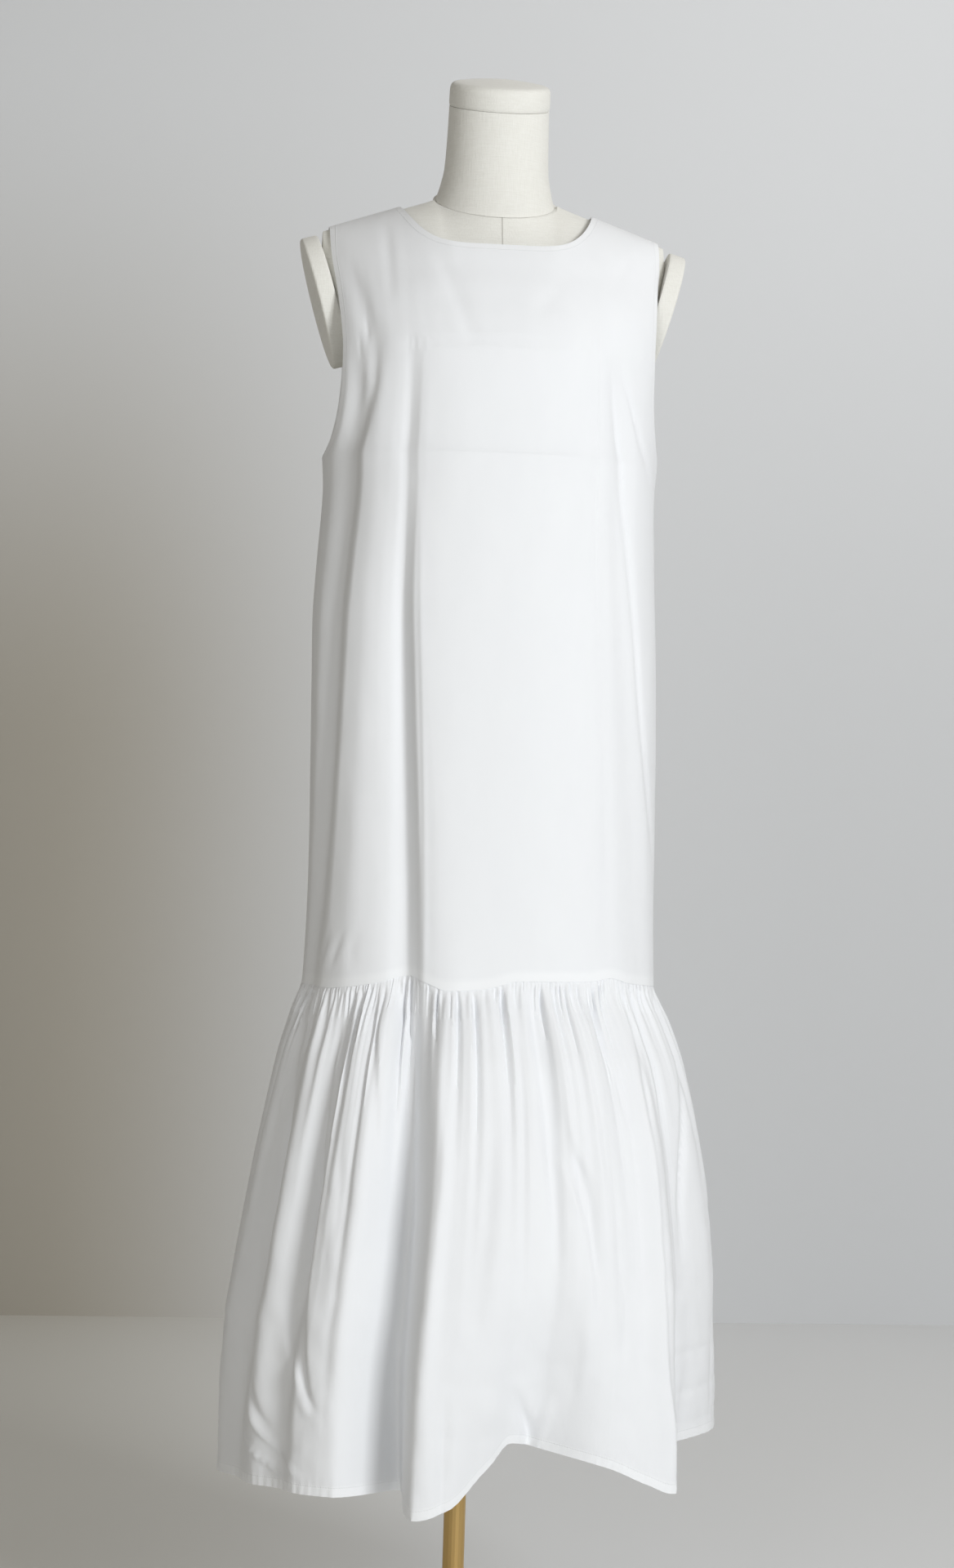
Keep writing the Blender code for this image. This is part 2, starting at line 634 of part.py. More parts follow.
def build_flounce(name, folds, body_folds, front, material, collection):
    """Half of the gathered flounce, from its seam to the hem."""
    folded, normal = flounce_points(folds, body_folds, front)
    drop = folded[0, :, 2].mean() - folded[-1, :, 2].mean()
    small = gather_offsets(np.array(FLOUNCE_ROWS), drop, folded.shape[1])
    outer = folded + normal * small[:, :, None]
    wall = side_normals(folded)
    wall[0] = normal[0]
    inner = outer - CLOTH * wall
    shift = -SEAM_GAP / 2.0 if front else SEAM_GAP / 2.0
    rows = []
    for skin in (outer, inner):
        skin[:, [0, -1], 1] = shift
        skin[0, :, 2] = folded[0, :, 2]
        rows.append([row if k < FINE_ROWS else row[::2] for k, row in enumerate(skin)])
    return wall_mesh(name, rows[0], rows[1], material, collection)


def torso_ridge(x):
    """Height of the torso's shoulder, just under the cloth that rests on it."""
    lowered = CLOTH * math.hypot(1.0, SHOULDER_SLOPE) + SHOULDER_CLEARANCE
    return shoulder_ridge(np.maximum(np.abs(x), NECK_RING[0])) - lowered


def torso_half(front):
    """Grid of the torso's front or back, from the bottom up to the shoulder and neck ring."""
    depth_column = 2 if front else 3
    facing = -1.0 if front else 1.0
    ring_x = NECK_RING[0] * np.sin(np.linspace(0.0, math.pi / 2.0, NECK_COLUMNS))
    inside = np.degrees(np.arcsin((ring_x / TORSO_SHOULDER_TIP) ** (SQUARENESS / 2.0)))
    outside = np.linspace(inside[-1], 90.0, SHOULDER_COLUMNS)
    one_side = np.concatenate([inside, outside[1:]])
    angles = np.concatenate([-one_side[:0:-1], one_side])
    spread = signed_power(np.sin(np.radians(angles)), 2.0 / SQUARENESS)
    rows = []
    for height in TORSO_ROWS:
        x = spread * table_at(TORSO_SECTIONS, 1, height)
        depth = table_at(TORSO_SECTIONS, depth_column, height)
        y = facing * depth * np.abs(np.cos(np.radians(angles))) ** (2.0 / SQUARENESS)
        rows.append(np.stack([x, y, np.full_like(x, height)], axis=1))
    start = TORSO_ROWS[-1]
    top_x = spread * TORSO_SHOULDER_TIP
    in_ring = np.abs(top_x) < NECK_RING[0] - MERGE_DISTANCE
    ring_y = facing * NECK_RING[1] * np.sqrt(np.clip(1.0 - (top_x / NECK_RING[0]) ** 2, 0.0, 1.0))
    ring_y = np.where(in_ring, ring_y, 0.0)
    ring_height = torso_ridge(NECK_RING[0])
    top = np.where(in_ring, ring_height + NECK_RING_LEAN * ring_y, torso_ridge(top_x))
    tip_height = torso_ridge(TORSO_SHOULDER_TIP)

    # The chest turns in to nothing at the shoulder, and runs on up into the neck at the ring
    steepness = 0.5 + 0.5 * np.abs(ring_y) / NECK_RING[1]
    for k in range(1, TORSO_CHEST_ROWS + 1):
        share = 0.5 - 0.5 * math.cos(math.pi * k / TORSO_CHEST_ROWS)
        edge_height = start + (tip_height - start) * share
        opening = ARM_BOTTOM[0] + ARM_LEAN * (edge_height - ARM_BOTTOM[1])
        x = spread * min(float(table_at(TORSO_SECTIONS, 1, edge_height)), max(opening, ARM_BOTTOM[0]),
                         TORSO_SHOULDER_TIP)
        height = start + (top - start) * share
        half_width = table_at(TORSO_SECTIONS, 1, height)
        plan = (1.0 - np.clip(np.abs(x) / half_width, 0.0, 1.0) ** SQUARENESS) ** (1.0 / SQUARENESS)
        chest_y = facing * table_at(TORSO_SECTIONS, depth_column, height) * plan
        below = np.clip((top - height) / SHOULDER_ROUNDING, 0.0, 1.0)
        turn_in = (1.0 - (1.0 - below) ** 2) ** steepness
        rows.append(np.stack([x, ring_y + (chest_y - ring_y) * turn_in, height], axis=1))
    return np.array(rows)


def build_torso(material, collection):
    """The torso: front and back halves, the flat arm openings between them, a flat underside
    and a flat top inside the neck ring."""
    bm = bmesh.new()
    halves = []
    for front in (True, False):
        points = torso_half(front)
        halves.append([[bm.verts.new(point) for point in row] for row in points])
    for grid in halves:
        for row, following in zip(grid, grid[1:]):
            for k in range(len(row) - 1):
                bm.faces.new((row[k], row[k + 1], following[k + 1], following[k]))
    front, back = halves
    for side in (0, -1):
        for k in range(len(front) - 1):
            bm.faces.new((front[k][side], front[k + 1][side], back[k + 1][side], back[k][side]))
    bmesh.ops.remove_doubles(bm, verts=bm.verts, dist=MERGE_DISTANCE)
    bmesh.ops.dissolve_degenerate(bm, edges=bm.edges, dist=MERGE_DISTANCE)
    edges = [edge for edge in bm.edges if edge.is_boundary]
    bmesh.ops.holes_fill(bm, edges=edges, sides=0)
    return finish_mesh(bm, "form_torso", material, collection)


def ring_points(half_width, half_depth, centre, lean, sides):
    """An ellipse lying in a plane that falls towards the front."""
    turn = np.linspace(0.0, 2.0 * math.pi, sides, endpoint=False)
    x = half_width * np.sin(turn)
    y = -half_depth * np.cos(turn)
    return np.stack([x, centre[0] + y, centre[1] + lean * y], axis=1)


def loft_mesh(name, rings, top_point, material, collection):
    """A closed solid through rings of points with a flat underside and a crown point."""
    bm = bmesh.new()
    skin = [[bm.verts.new(point) for point in ring] for ring in rings]
    sides = len(skin[0])
    for ring, following in zip(skin, skin[1:]):
        for k in range(sides):
            bm.faces.new((ring[k], ring[(k + 1) % sides], following[(k + 1) % sides], following[k]))
    bm.faces.new(skin[0])
    if top_point is None:
        bm.faces.new(skin[-1])
    else:
        crown = bm.verts.new(top_point)
        for k in range(sides):
            bm.faces.new((skin[-1][k], skin[-1][(k + 1) % sides], crown))
    return finish_mesh(bm, name, material, collection)


def build_neck(material, collection):
    """The neck, from the torso's neck ring to the seam under the cap."""
    base = float(torso_ridge(NECK_RING[0])) + SEAM_GAP
    rings = []
    for rise, half_width, half_depth, centre_y, lean in NECK_RINGS:
        rings.append(ring_points(half_width, half_depth, (centre_y, base + rise), lean, NECK_SIDES))
    return loft_mesh("form_neck", rings, None, material, collection)


def build_neck_cap(material, collection):
    """The domed cap that closes the neck, with a rounded rim."""
    rise, half_width, half_depth, centre_y, lean = NECK_RINGS[-1]
    base = float(torso_ridge(NECK_RING[0])) + rise + 2.0 * SEAM_GAP
    rings = []
    for height, scale in CAP_RINGS:
        centre = (centre_y - height * lean, base + height)
        rings.append(ring_points(half_width * scale, half_depth * scale, centre, lean, NECK_SIDES))
    crown = (0.0, centre_y - CAP_TOP * lean, base + CAP_TOP)
    return loft_mesh("form_neck_cap", rings, crown, material, collection)


def build_arm_plate(name, side, material, collection):
    """The oval plate that closes an arm opening; side is +1 for +X and -1 for -X."""
    length = math.hypot(1.0, ARM_LEAN)
    up = np.array([side * ARM_LEAN / length, 0.0, 1.0 / length])
    out = np.array([side / length, 0.0, -ARM_LEAN / length])
    plane_x = ARM_BOTTOM[0] + ARM_LEAN * (PLATE_CENTRE_HEIGHT - ARM_BOTTOM[1])
    centre = np.array([side * plane_x, 0.0, PLATE_CENTRE_HEIGHT])
    turn = np.linspace(0.0, 2.0 * math.pi, PLATE_SIDES, endpoint=False)
    rings = []
    for rise, scale in PLATE_RINGS:
        middle = centre + (SEAM_GAP + rise) * out
        along = PLATE_HALF_HEIGHT * scale * np.cos(turn)[:, None] * up
        across = PLATE_HALF_DEPTH * scale * np.sin(turn)[:, None] * np.array([0.0, 1.0, 0.0])
        rings.append(middle + along + across)
    crown = centre + (SEAM_GAP + PLATE_CROWN) * out
    return loft_mesh(name, rings, crown, material, collection)


def build_pole(material, collection):
    """The pole, from the foot's collar to the torso's underside."""
    low = FOOT_TOP + SEAM_GAP
    high = TORSO_BOTTOM - SEAM_GAP
    bpy.ops.mesh.primitive_cylinder_add(vertices=POLE_SIDES, radius=POLE_RADIUS, depth=high - low,
                                        location=(0.0, 0.0, (low + high) / 2.0))
    pole = bpy.context.active_object
    pole.name = "form_pole"
    pole.data.name = "form_pole"
    pole.data.shade_smooth()
    pole.data.set_sharp_from_angle(angle=SHARP_ANGLE)
    pole.data.materials.append(material)
    for holder in list(pole.users_collection):
        holder.objects.unlink(pole)
    collection.objects.link(pole)
    return pole


def build_foot(material, collection):
    """The round foot, a profile turned about the pole's axis."""
    mesh = bpy.data.meshes.new("form_foot")
    points = [(radius, 0.0, height) for radius, height in FOOT_PROFILE]
    mesh.from_pydata(points, [(k, k + 1) for k in range(len(points) - 1)], [])
    foot = bpy.data.objects.new("form_foot", mesh)
    collection.objects.link(foot)
    screw = foot.modifiers.new("turn", "SCREW")
    screw.steps = FOOT_SIDES
    screw.render_steps = FOOT_SIDES
    screw.use_merge_vertices = True
    screw.merge_threshold = MERGE_DISTANCE
    mesh.materials.append(material)
    return foot


def main():
    clear_scene()
    collection = bpy.data.collections.new("dress_on_form")
    bpy.context.scene.collection.children.link(collection)
    front_cloth = make_material("front_poplin", (0.86, 0.87, 0.89), 0.78)
    back_cloth = make_material("back_poplin", (0.85, 0.86, 0.88), 0.78)
    front_gathered = make_material("front_flounce_poplin", (0.86, 0.87, 0.88), 0.80)
    back_gathered = make_material("back_flounce_poplin", (0.85, 0.86, 0.87), 0.80)
    build_body("front_body", FRONT_BODY_FOLDS, True, front_cloth, collection)
    build_body("back_body", BACK_BODY_FOLDS, False, back_cloth, collection)
    build_flounce("front_flounce", FRONT_FLOUNCE_FOLDS, FRONT_BODY_FOLDS, True, front_gathered, collection)
    build_flounce("back_flounce", BACK_FLOUNCE_FOLDS, BACK_BODY_FOLDS, False, back_gathered, collection)
    build_torso(make_material("torso_linen", (0.80, 0.78, 0.72), 0.9), collection)
    build_neck(make_material("neck_linen", (0.81, 0.79, 0.73), 0.9), collection)
    build_neck_cap(make_material("cap_linen", (0.82, 0.80, 0.74), 0.9), collection)
    for name, side in (("form_arm_plate_left", -1.0), ("form_arm_plate_right", 1.0)):
        build_arm_plate(name, side, make_material(name + "_linen", (0.80, 0.78, 0.71), 0.9), collection)
    build_pole(make_material("pole_brass", (0.62, 0.44, 0.18), 0.3, 1.0), collection)
    build_foot(make_material("foot_brass", (0.60, 0.43, 0.18), 0.35, 1.0), collection)


main()
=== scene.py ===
"""White sleeveless poplin dress with a gathered hem flounce, on a linen covered display form.

Metres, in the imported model's frame: +Z up, the front faces -Y and the form's pole runs up the
Z axis. Angles run round that axis in degrees: 0 is the centre front, +90 the side seam at +X,
-90 the side seam at -X, and 180 the centre back.
"""
import math

import bmesh
import bpy
import numpy as np
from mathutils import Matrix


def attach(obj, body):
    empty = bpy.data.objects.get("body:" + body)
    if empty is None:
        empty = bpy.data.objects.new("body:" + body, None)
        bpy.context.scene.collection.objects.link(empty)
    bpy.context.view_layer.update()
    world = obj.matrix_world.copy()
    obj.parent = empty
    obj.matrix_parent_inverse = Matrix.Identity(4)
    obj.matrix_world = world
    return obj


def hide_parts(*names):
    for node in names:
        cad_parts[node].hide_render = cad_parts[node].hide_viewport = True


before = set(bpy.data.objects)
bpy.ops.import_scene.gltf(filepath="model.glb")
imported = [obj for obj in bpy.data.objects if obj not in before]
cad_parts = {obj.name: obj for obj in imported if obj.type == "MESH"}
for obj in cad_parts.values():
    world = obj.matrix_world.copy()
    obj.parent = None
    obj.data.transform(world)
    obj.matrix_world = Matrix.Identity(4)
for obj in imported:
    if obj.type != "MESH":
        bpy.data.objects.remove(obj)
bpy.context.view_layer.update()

# The form's torso
# A hollow moulded torso, covered with natural linen that is pulled tight and seamed down the
# centre front and back. The dress hangs from its shoulders.
TORSO_SECTIONS = (
    # height, half_width, front_depth, back_depth
    (0.780, 0.150, 0.100, 0.105),
    (0.880, 0.157, 0.105, 0.110),
    (1.000, 0.133, 0.092, 0.094),
    (1.080, 0.120, 0.088, 0.084),
    (1.180, 0.134, 0.098, 0.086),
    (1.250, 0.139, 0.110, 0.090),
    (1.290, 0.139, 0.115, 0.094),
    (1.308, 0.140, 0.115, 0.095),
    (1.330, 0.157, 0.109, 0.095),
    (1.370, 0.172, 0.098, 0.092),
    (1.410, 0.175, 0.084, 0.087),
    (1.480, 0.176, 0.070, 0.076),
)
SQUARENESS = 2.2                    # exponent of all cross sections, where 2 is an ellipse
NECK_POINT = (0.097, 1.466)         # where the dress's shoulder meets its neckline: x, height
SHOULDER_SLOPE = 0.333
SHOULDER_ROUNDING = 0.11            # height over which the chest turns in to the shoulder
SHOULDER_FLAT = 0.05                # nearer the centre than this the ridge rises no more
TORSO_UNDER_DRESS = 0.0028          # the torso's shoulder lies so far under the dress's
TORSO_SHOULDER_TIP = 0.172
ARM_BOTTOM = (0.142, 1.308)         # the flat arm opening: x, height
ARM_LEAN = 0.29                     # its x grows so much for each metre up
NECK_RING = (0.062, 0.060)          # half width and half depth of the neck's base
NECK_RING_LEAN = 0.41
CHEST_START = 1.290
NECK_SMOOTH = (0.125, 1.400)        # the linen is smoothed within this width, above this height
NECK_SMOOTHINGS = 24
NECK_MARGIN = 1.02                  # but not nearer the neck's ring than this share of its size
RIDGE_MARGIN = 0.002                # nor nearer the shoulder ridge than this
TORSO_ROWS = 44                     # rows of the grid below the chest, and again above it
TORSO_COLUMNS = 22                  # columns from the centre to the ring's side, and on to the arm
PIECE_GAP = 0.0003                  # clearance between two pieces that meet
TINY = 0.00001                      # points nearer than this are one
SHARP_ANGLE = 40.0                  # faces that meet at more than this are shaded apart
LINEN_THREADS = 900.0               # scale of the threads' noise
LINEN_SLUB = 0.08                   # the noise is stretched along a thread by this factor
LINEN_SEAM = 0.0011                 # half width of a seam's groove
LINEN = (0.838, 0.834, 0.792, 1.0)
LINEN_SHADE = (0.750, 0.738, 0.688, 1.0)


def curve_through(where, places, values):
    """A smooth curve through values at places that never swings past them: each stretch is a
    cubic, with the harmonic mean of the slopes on its two sides as the slope at a place."""
    places = np.asarray(places, dtype=float)
    values = np.asarray(values, dtype=float)
    where = np.clip(where, places[0], places[-1])
    step = np.diff(places)
    slope = np.diff(values) / step
    before, after = slope[:-1], slope[1:]
    same_sign = before * after > 0
    safe = np.where(same_sign, before + after, 1.0)
    inner = np.where(same_sign, 2.0 * before * after / safe, 0.0)
    tangent = np.concatenate(([slope[0]], inner, [slope[-1]]))
    index = np.clip(np.searchsorted(places, where, side="right") - 1, 0, len(step) - 1)
    share = (where - places[index]) / step[index]
    rise = values[index + 1] - values[index]
    start = tangent[index] * step[index]
    end = tangent[index + 1] * step[index]
    return (values[index] + share * start
            + share ** 2 * (3.0 * rise - 2.0 * start - end)
            + share ** 3 * (start + end - 2.0 * rise))


def column(table, place):
    """One named column of a table as an array."""
    return np.array([row[place] for row in table], dtype=float)


def table_at(table, place, heights):
    """A column of a table of sections, read at the given heights."""
    return curve_through(heights, column(table, 0), column(table, place))


def signed_power(values, power):
    """A power that keeps the sign of each value."""
    return np.sign(values) * np.abs(values) ** power


def shoulder_ridge(x, nape=0.0):
    """Height of the dress's shoulder line at a distance from the centre, which slopes down and
    outward; nape lifts it between the neck points by a parabola."""
    outward = np.maximum(np.abs(x), SHOULDER_FLAT) - NECK_POINT[0]
    inward = np.clip(1.0 - (x / NECK_POINT[0]) ** 2, 0.0, 1.0)
    return NECK_POINT[1] - SHOULDER_SLOPE * outward + nape * inward


def torso_ridge(x):
    """Height of the torso's shoulder, just under the dress's."""
    return shoulder_ridge(np.maximum(np.abs(x), NECK_RING[0])) - TORSO_UNDER_DRESS


def row_quads(first, second, columns):
    """Quads between two neighbouring rows of a grid, from the numbers of their first points."""
    k = np.arange(columns - 1)
    return np.stack([first + k, first + k + 1, second + k + 1, second + k], axis=1)


def new_piece(name, points, faces, material, uv=None, sharp=SHARP_ANGLE, **values):
    """A mesh object from arrays of points and faces, with its UV map and the named values at
    its points. Its faces are turned outward by the sign of its volume."""
    mesh = bpy.data.meshes.new(name)
    mesh.from_pydata(points.tolist(), [], [list(face) for group in faces for face in group])
    mesh.update()
    mesh.calc_loop_triangles()
    corners = np.zeros(len(mesh.loop_triangles) * 3, np.int32)
    mesh.loop_triangles.foreach_get("vertices", corners)
    a, b, c = points[corners.reshape(-1, 3)].transpose(1, 0, 2)
    if float((a * np.cross(b, c)).sum()) < 0.0:
        mesh.flip_normals()
    if uv is not None:
        loops = np.zeros(len(mesh.loops), np.int32)
        mesh.loops.foreach_get("vertex_index", loops)
        layer = mesh.uv_layers.new(name="cut")
        layer.data.foreach_set("uv", uv[loops].astype(np.float32).ravel())
    for label, numbers in values.items():
        mesh.attributes.new(label, "FLOAT", "POINT").data.foreach_set(
            "value", np.asarray(numbers, np.float32))
    mesh.shade_smooth()
    mesh.set_sharp_from_angle(angle=math.radians(sharp))
    mesh.materials.append(material)
    piece = bpy.data.objects.new(name, mesh)
    bpy.context.scene.collection.objects.link(piece)
    return piece


def new_material(name, colour, roughness, metallic=0.0):
    """A Principled material with its nodes, links and shader."""
    material = bpy.data.materials.new(name)
    material.use_nodes = True
    nodes, links = material.node_tree.nodes, material.node_tree.links
    shader = nodes["Principled BSDF"]
    shader.inputs["Base Color"].default_value = colour
    shader.inputs["Roughness"].default_value = roughness
    shader.inputs["Metallic"].default_value = metallic
    return material, nodes, links, shader


def add_node(nodes, kind, **settings):
    """A node with its settings: a plain name is a property, a name in in_0 style is a socket."""
    node = nodes.new(kind)
    for key, value in settings.items():
        if key.startswith("in_"):
            place = key[3:]
            node.inputs[int(place) if place.isdigit() else place].default_value = value
        else:
            setattr(node, key, value)
    return node


def math_node(nodes, links, operation, *values, clamp=False):
    """A Math node on sockets or numbers; gives its output."""
    node = add_node(nodes, "ShaderNodeMath", operation=operation, use_clamp=clamp)
    for socket, value in zip(node.inputs, values):
        if isinstance(value, (int, float)):
            socket.default_value = value
        else:
            links.new(value, socket)
    return node.outputs[0]


def noise_node(nodes, links, place, scale, detail, roughness=0.5):
    """Noise on a vector socket; gives its output."""
    node = add_node(nodes, "ShaderNodeTexNoise", in_Scale=scale, in_Detail=detail,
                    in_Roughness=roughness)
    links.new(place, node.inputs["Vector"])
    return node.outputs["Fac"]


def stretched(nodes, links, place, scale):
    """A vector socket scaled along its axes."""
    node = add_node(nodes, "ShaderNodeMapping", in_Scale=scale)
    links.new(place, node.inputs["Vector"])
    return node.outputs[0]


def two_tones(nodes, links, shader, first, second, factor):
    """Gives the shader a colour mixed from two by a socket."""
    mix = add_node(nodes, "ShaderNodeMix", data_type="RGBA")
    mix.inputs["A"].default_value = first
    mix.inputs["B"].default_value = second
    links.new(factor, mix.inputs["Factor"])
    links.new(mix.outputs["Result"], shader.inputs["Base Color"])


def raise_surface(nodes, links, shader, height, strength, distance):
    """Gives the shader a bump whose height is a socket."""
    bump = add_node(nodes, "ShaderNodeBump", in_Strength=strength, in_Distance=distance)
    links.new(height, bump.inputs["Height"])
    links.new(bump.outputs[0], shader.inputs["Normal"])


def linen_material(name, seam_axis=None):
    """Natural linen: a plain weave of slubby threads, in bump and in two shades, and a seam as a
    thin groove where the given axis is zero."""
    material, nodes, links, shader = new_material(name, LINEN, 0.88)
    shader.inputs["Sheen Weight"].default_value = 0.25
    shader.inputs["Sheen Roughness"].default_value = 0.55
    place = add_node(nodes, "ShaderNodeTexCoord").outputs["Object"]
    threads = []
    for along in ((1.0, 1.0, LINEN_SLUB), (LINEN_SLUB, LINEN_SLUB, 1.0)):
        threads.append(noise_node(nodes, links, stretched(nodes, links, place, along),
                                  LINEN_THREADS, 3.0))
    weave = math_node(nodes, links, "ADD", *threads)
    patches = noise_node(nodes, links, place, 22.0, 3.0)
    tone = math_node(nodes, links, "MULTIPLY_ADD", patches, 0.5, -0.55)
    tone = math_node(nodes, links, "ADD", math_node(nodes, links, "MULTIPLY", weave, 0.9), tone,
                     clamp=True)
    height = weave
    if seam_axis is not None:
        parts = add_node(nodes, "ShaderNodeSeparateXYZ")
        links.new(place, parts.inputs[0])
        off = math_node(nodes, links, "ABSOLUTE", parts.outputs[seam_axis])
        groove = math_node(nodes, links, "SUBTRACT", 1.0,
                           math_node(nodes, links, "DIVIDE", off, LINEN_SEAM), clamp=True)
        tone = math_node(nodes, links, "SUBTRACT", tone, groove, clamp=True)
        height = math_node(nodes, links, "SUBTRACT", weave,
                           math_node(nodes, links, "MULTIPLY", groove, 4.0))
    two_tones(nodes, links, shader, LINEN_SHADE, LINEN, tone)
    raise_surface(nodes, links, shader, height, 0.55, 0.0006)
    return material


def torso_half(front, level_heights, rows_above, columns_each_side):
    """Grid of the torso's front or back. Below the chest the rows are superellipses of the
    sections' table. Above it each column rises by equal shares of its own height, and turns in
    along a power of a circle: to nothing at the shoulder, or to the neck's base ring."""
    place = 2 if front else 3
    facing = -1.0 if front else 1.0
    ring_turn = np.linspace(0.0, math.pi / 2.0, columns_each_side)
    ring_x = NECK_RING[0] * np.sin(ring_turn)
    inside = np.arcsin((ring_x / TORSO_SHOULDER_TIP) ** (SQUARENESS / 2.0))
    outside = np.linspace(inside[-1], math.pi / 2.0, columns_each_side)
    one_side = np.concatenate([inside, outside[1:]])
    turn = np.concatenate([-one_side[:0:-1], one_side])
    spread = signed_power(np.sin(turn), 2.0 / SQUARENESS)
    rows = []
    for height in level_heights:
        x = spread * table_at(TORSO_SECTIONS, 1, height)
        y = facing * table_at(TORSO_SECTIONS, place, height) * np.abs(np.cos(turn)) ** (
            2.0 / SQUARENESS)
        rows.append(np.stack([x, y, np.full_like(x, height)], axis=1))
    top_x = spread * TORSO_SHOULDER_TIP
    in_ring = np.abs(top_x) < NECK_RING[0] - TINY
    ring_y = facing * NECK_RING[1] * np.sqrt(np.clip(1.0 - (top_x / NECK_RING[0]) ** 2, 0.0, 1.0))
    ring_y = np.where(in_ring, ring_y, 0.0)
    top = np.where(in_ring, torso_ridge(NECK_RING[0]) + NECK_RING_LEAN * ring_y,
                   torso_ridge(top_x))
    steepness = 0.5 + 0.5 * np.abs(ring_y) / NECK_RING[1]
    tip_height = torso_ridge(TORSO_SHOULDER_TIP)
    for share in 0.5 - 0.5 * np.cos(math.pi * np.arange(1, rows_above + 1) / rows_above):
        edge_height = CHEST_START + (tip_height - CHEST_START) * share
        opening = ARM_BOTTOM[0] + ARM_LEAN * (edge_height - ARM_BOTTOM[1])
        x = spread * min(float(table_at(TORSO_SECTIONS, 1, edge_height)),
                         max(opening, ARM_BOTTOM[0]), TORSO_SHOULDER_TIP)
        height = CHEST_START + (top - CHEST_START) * share
        across = np.clip(np.abs(x) / table_at(TORSO_SECTIONS, 1, height), 0.0, 1.0)
        plan = (1.0 - across ** SQUARENESS) ** (1.0 / SQUARENESS)
        chest_y = facing * table_at(TORSO_SECTIONS, place, height) * plan
        below = np.clip((top - height) / SHOULDER_ROUNDING, 0.0, 1.0)
        turn_in = (1.0 - (1.0 - below) ** 2) ** steepness
        rows.append(np.stack([x, ring_y + (chest_y - ring_y) * turn_in, height], axis=1))
    return np.array(rows)


def closed_torso():
    """Points and faces of the torso: its two grids, the flat arm openings between their side
    columns, its flat underside and the flat inside of the neck's base ring."""
    levels = np.linspace(TORSO_SECTIONS[0][0], CHEST_START, TORSO_ROWS)
    front, back = (torso_half(side, levels, TORSO_ROWS, TORSO_COLUMNS) for side in (True, False))
    rows, columns = front.shape[:2]
    count = rows * columns
    faces = []
    for start in (0, count):
        for k in range(rows - 1):
            quads = row_quads(start + k * columns, start + (k + 1) * columns, columns)
            faces.append(quads if start == 0 else quads[:, ::-1])
    low = np.arange(rows - 1) * columns
    for side in (0, columns - 1):
        quads = np.stack([low + side, low + side + columns, count + low + side + columns,
                          count + low + side], axis=1)
        faces.append(quads if side == 0 else quads[:, ::-1])
    k = np.arange(columns - 1)
    faces.append(np.stack([k, count + k, count + k + 1, k + 1], axis=1))
    k = k + count - columns
    faces.append(np.stack([k, k + 1, count + k + 1, count + k], axis=1))
    return np.concatenate([front.reshape(-1, 3), back.reshape(-1, 3)]), faces


def welded(piece):
    """The piece with points in one place made one and faces without area taken out, and with the
    chest and back round the neck's base smoothed; the ring and the shoulder ridges stay."""
    bm = bmesh.new()
    bm.from_mesh(piece.data)
    bmesh.ops.remove_doubles(bm, verts=bm.verts, dist=TINY)
    bmesh.ops.dissolve_degenerate(bm, edges=bm.edges, dist=TINY)
    round_neck = []
    for vert in bm.verts:
        off_ring = math.hypot(vert.co.x / NECK_RING[0], vert.co.y / NECK_RING[1])
        near_neck = vert.co.z > NECK_SMOOTH[1] and abs(vert.co.x) < NECK_SMOOTH[0]
        if near_neck and off_ring > NECK_MARGIN and abs(vert.co.y) > RIDGE_MARGIN:
            round_neck.append(vert)
    for _ in range(NECK_SMOOTHINGS):
        bmesh.ops.smooth_vert(bm, verts=round_neck, factor=0.5, use_axis_x=True,
                              use_axis_y=True, use_axis_z=True)
    bmesh.ops.recalc_face_normals(bm, faces=bm.faces)
    bm.to_mesh(piece.data)
    bm.free()
    piece.data.shade_smooth()
    piece.data.set_sharp_from_angle(angle=math.radians(SHARP_ANGLE))
    return piece


torso = welded(new_piece("torso_cover", *closed_torso(), linen_material("torso linen", "X")))
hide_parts("form_torso")
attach(torso, "root")

# The form's neck and cap
# The neck flares into the shoulders and is covered separately; a padded round cap closes it,
# with a sewn seam round its rim.
NECK_PROFILE = (
    # rise, half_width, half_depth, centre_y, lean
    (0.000, 0.0596, 0.0576, 0.000, 0.41),
    (0.012, 0.0560, 0.0555, -0.002, 0.39),
    (0.032, 0.0522, 0.0520, -0.005, 0.36),
    (0.062, 0.0508, 0.0505, -0.009, 0.33),
    (0.093, 0.0500, 0.0500, -0.012, 0.30),
)
CAP_PROFILE = (
    # rise, scale
    (0.0000, 0.985), (0.0012, 1.004), (0.0040, 1.010), (0.0150, 1.008), (0.0180, 1.000),
    (0.0202, 0.982), (0.0218, 0.950), (0.0230, 0.880), (0.0244, 0.700), (0.0258, 0.460),
    (0.0268, 0.220), (0.0272, 0.080),
)
CAP_CROWN = 0.0275
NECK_SIDES = 72
NECK_RING_COUNT = 26
NECK_BASE = float(torso_ridge(NECK_RING[0])) + PIECE_GAP


def leaning_ring(half_width, half_depth, centre_y, height, lean):
    """An ellipse whose plane falls towards the front."""
    turn = np.linspace(0.0, 2.0 * math.pi, NECK_SIDES, endpoint=False)
    y = -half_depth * np.cos(turn)
    return np.stack([half_width * np.sin(turn), centre_y + y, height + lean * y], axis=1)


